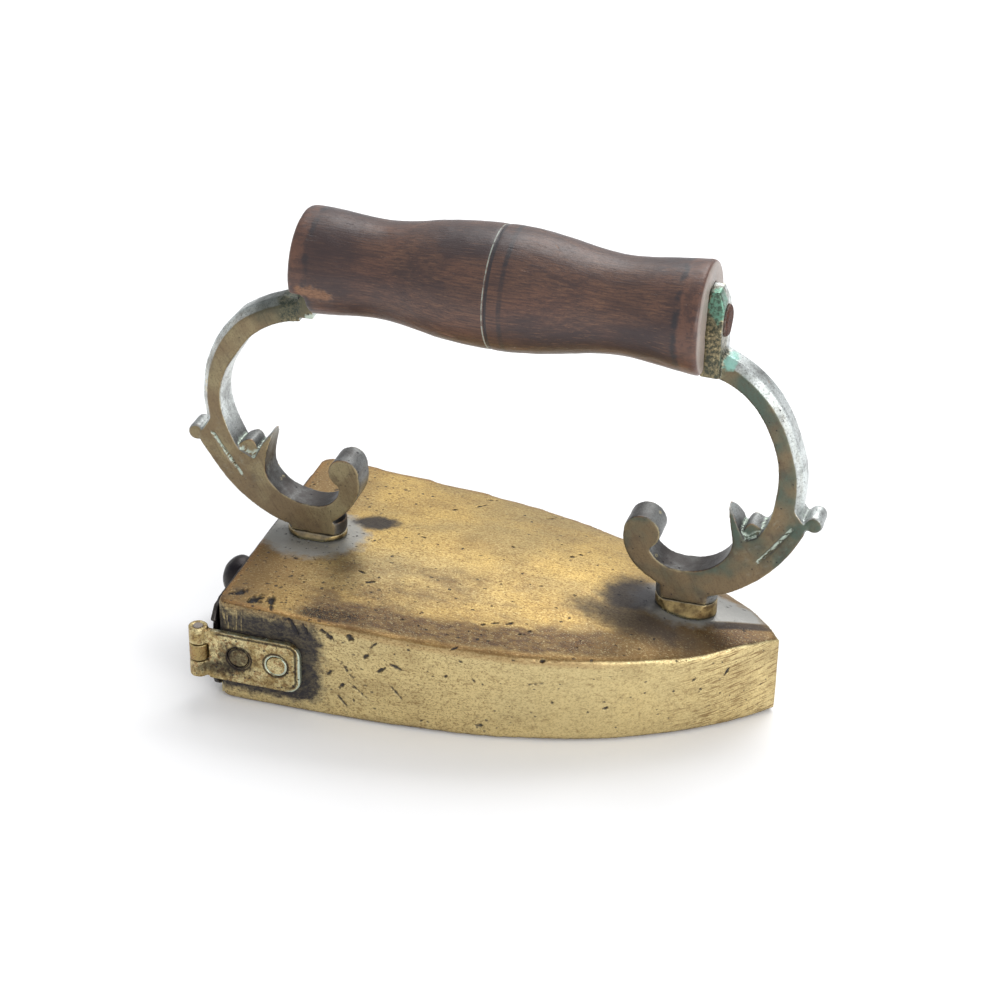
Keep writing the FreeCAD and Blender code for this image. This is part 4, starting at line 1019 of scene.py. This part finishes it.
def make_posts():
    looks = {
        "rear": post_brass("rear post brass", POST_BROWN, POST_OLIVE, -1),
        "front": post_brass("front post brass", POST_BROWN, POST_GREEN, 1),
    }
    for end, look in looks.items():
        piece = copy_of(end + "_post", voxel=0.42 * MM, rounds=4)
        roughen(piece, size=6 * MM, depth=0.25 * MM)
        finish_piece(piece, "body", end + "_post", look)
    look = pad_brass()
    for end in ("rear", "front"):
        piece = copy_of(end + "_foot_pad", voxel=0.35 * MM, rounds=4)
        # painted contact shade where the pad touches the body
        contact_shade_layer(piece, ("box_casting",), CONTACT_SHADE_REACH)
        roughen(piece, size=3 * MM, depth=0.15 * MM)
        finish_piece(piece, "body", end + "_foot_pad", look)


def make_grip():
    piece = copy_of("wooden_grip", voxel=0.6 * MM, rounds=3)
    centre = Vector((0, 0, GRIP_AXIS_Z))
    ring = []
    for step in range(GROOVE_STEPS):
        turn = math.radians(360 / GROOVE_STEPS * step)
        ring.append(Vector((0, math.sin(turn), math.cos(turn))) * GRIP_HIGH.y + centre)
    around = [(a, b, 0.45 * MM, 0.4 * MM) for a, b in zip(ring, ring[1:] + ring[:1])]
    refine(piece, around, margin=0.5 * MM)
    refine(piece, around, margin=0.2 * MM)
    roughen(piece, size=15 * MM, depth=0.35 * MM)
    roughen(piece, size=3 * MM, depth=0.08 * MM)
    carve(piece, around, wander=0.0, taper=0.0)
    chips = []
    for x0, y0, z0, x1, y1, z1, half_width, depth in GRIP_CHIPS:
        chips.append((Vector((x0, y0, z0)) * MM, Vector((x1, y1, z1)) * MM, half_width * MM, depth * MM))
    refine(piece, chips, margin=0.5 * MM)
    carve(piece, chips, "bare", wander=0.45)
    finish_piece(piece, "body", "wooden_grip", grip_wood())


def make_hinge():
    strap_look = strap_brass()
    barrel_look = hinge_brass("leaf brass", OLIVE, pitting=0.7)
    for node, body, voxel, look in (
            ("hinge_strap", "body", 0.32, strap_look), ("strap_rivets", "body", 0.25, strap_look),
            ("door_hinge_leaf", "door", 0.32, barrel_look), ("door_leaf_rivets", "door", 0.25, barrel_look)):
        piece = copy_of(node, voxel * MM, rounds=3)
        roughen(piece, size=3 * MM, depth=0.12 * MM)
        finish_piece(piece, body, node, look)


def make_iron_parts():
    black = iron("door iron", IRON, IRON_WORN, rust_share=0.0, grain_size=0.8, relief=0.08)
    rusty = iron("rusty rod", RUST_DARK, WOOD_PALE, rust_share=0.35, grain_size=0.5, relief=0.7)
    slug = iron("slug iron", IRON, IRON_WORN, rust_share=0.18, grain_size=1.2, relief=0.25)
    for node, body, voxel, slot, look in (
            ("door_plate", "door", 0.7, "door_iron", black),
            ("latch_washer", "door", 0.3, "door_iron", black),
            ("door_knob", "latch", 0.4, "door_iron", black),
            ("latch_bar", "latch", 0.35, "door_iron", black),
            ("grip_rod", "body", 0.4, "rod_iron", rusty),
            ("heating_slug", "slug", 1.2, "slug_iron", slug)):
        piece = copy_of(node, voxel * MM, rounds=3)
        roughen(piece, size=3 * MM, depth=0.15 * MM)
        finish_piece(piece, body, node, look)
    return black, rusty


def dress_hidden_parts(black, rusty):
    """The CAD parts that keep their own shape get materials of their own."""
    inner_brass = hinge_brass("inner brass", BROWN_BRASS, pitting=0.5)
    looks = {
        "sole_plate": sole_brass(), "slug_rest_ribs": inner_brass, "latch_keeper": inner_brass,
        "rear_post_burr": inner_brass, "front_post_burr": inner_brass,
        "hinge_pin": rusty, "knob_spindle": rusty, "spindle_burr": black,
    }
    for node, look in looks.items():
        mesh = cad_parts[node].data
        mesh.materials.clear()
        mesh.materials.append(look)


# ---- studio ----
def make_camera():
    azimuth, elevation, roll = (math.radians(a) for a in (AZIMUTH, ELEVATION, ROLL))
    right = Vector((math.cos(azimuth), math.sin(azimuth), 0))
    ahead = Vector((-math.sin(azimuth) * math.cos(elevation), math.cos(azimuth) * math.cos(elevation),
                    -math.sin(elevation)))
    up = right.cross(ahead)
    tilted_right = math.cos(roll) * right + math.sin(roll) * up
    tilted_up = math.cos(roll) * up - math.sin(roll) * right
    data = bpy.data.cameras.new("camera")
    data.lens = CAMERA_LENS
    data.sensor_width = SENSOR_WIDTH
    camera = bpy.data.objects.new("camera", data)
    SCENE.collection.objects.link(camera)
    turn = Matrix((tilted_right, tilted_up, -ahead)).transposed().to_4x4()
    camera.matrix_world = Matrix.Translation(CAMERA_TARGET - ahead * CAMERA_DISTANCE) @ turn
    SCENE.camera = camera


def area_light(name, place, size, power):
    """A round lamp that faces the object."""
    data = bpy.data.lights.new(name, "AREA")
    data.shape = "DISK"
    data.size = size
    data.energy = power
    light = bpy.data.objects.new(name, data)
    light.location = place
    light.rotation_euler = (Vector(LIGHT_TARGET) - Vector(place)).to_track_quat("-Z", "Y").to_euler()
    SCENE.collection.objects.link(light)


def make_studio():
    mesh = bpy.data.meshes.new("floor")
    corners = [(x * FLOOR_REACH, y * FLOOR_REACH, 0) for x, y in ((-1, -1), (1, -1), (1, 1), (-1, 1))]
    mesh.from_pydata(corners, [], [(0, 1, 2, 3)])
    floor = bpy.data.objects.new("floor", mesh)
    SCENE.collection.objects.link(floor)
    s = Shader("studio floor")
    shade = s.mix(s.noise(60), tone(255, 255, 255), tone(253, 253, 254))
    mesh.materials.append(s.surface(shade, 0.9, 0.0, 0.0, level=0.0))
    world = bpy.data.worlds.new("studio")
    world.use_nodes = True
    background = world.node_tree.nodes["Background"]
    background.inputs["Color"].default_value = SKY_COLOUR
    background.inputs["Strength"].default_value = SKY_STRENGTH
    SCENE.world = world
    for light in LIGHTS:
        area_light(*light)
    SCENE.view_settings.view_transform = "Standard"


make_camera()
make_studio()
make_body_shell()
make_posts()
make_grip()
make_hinge()
dress_hidden_parts(*make_iron_parts())
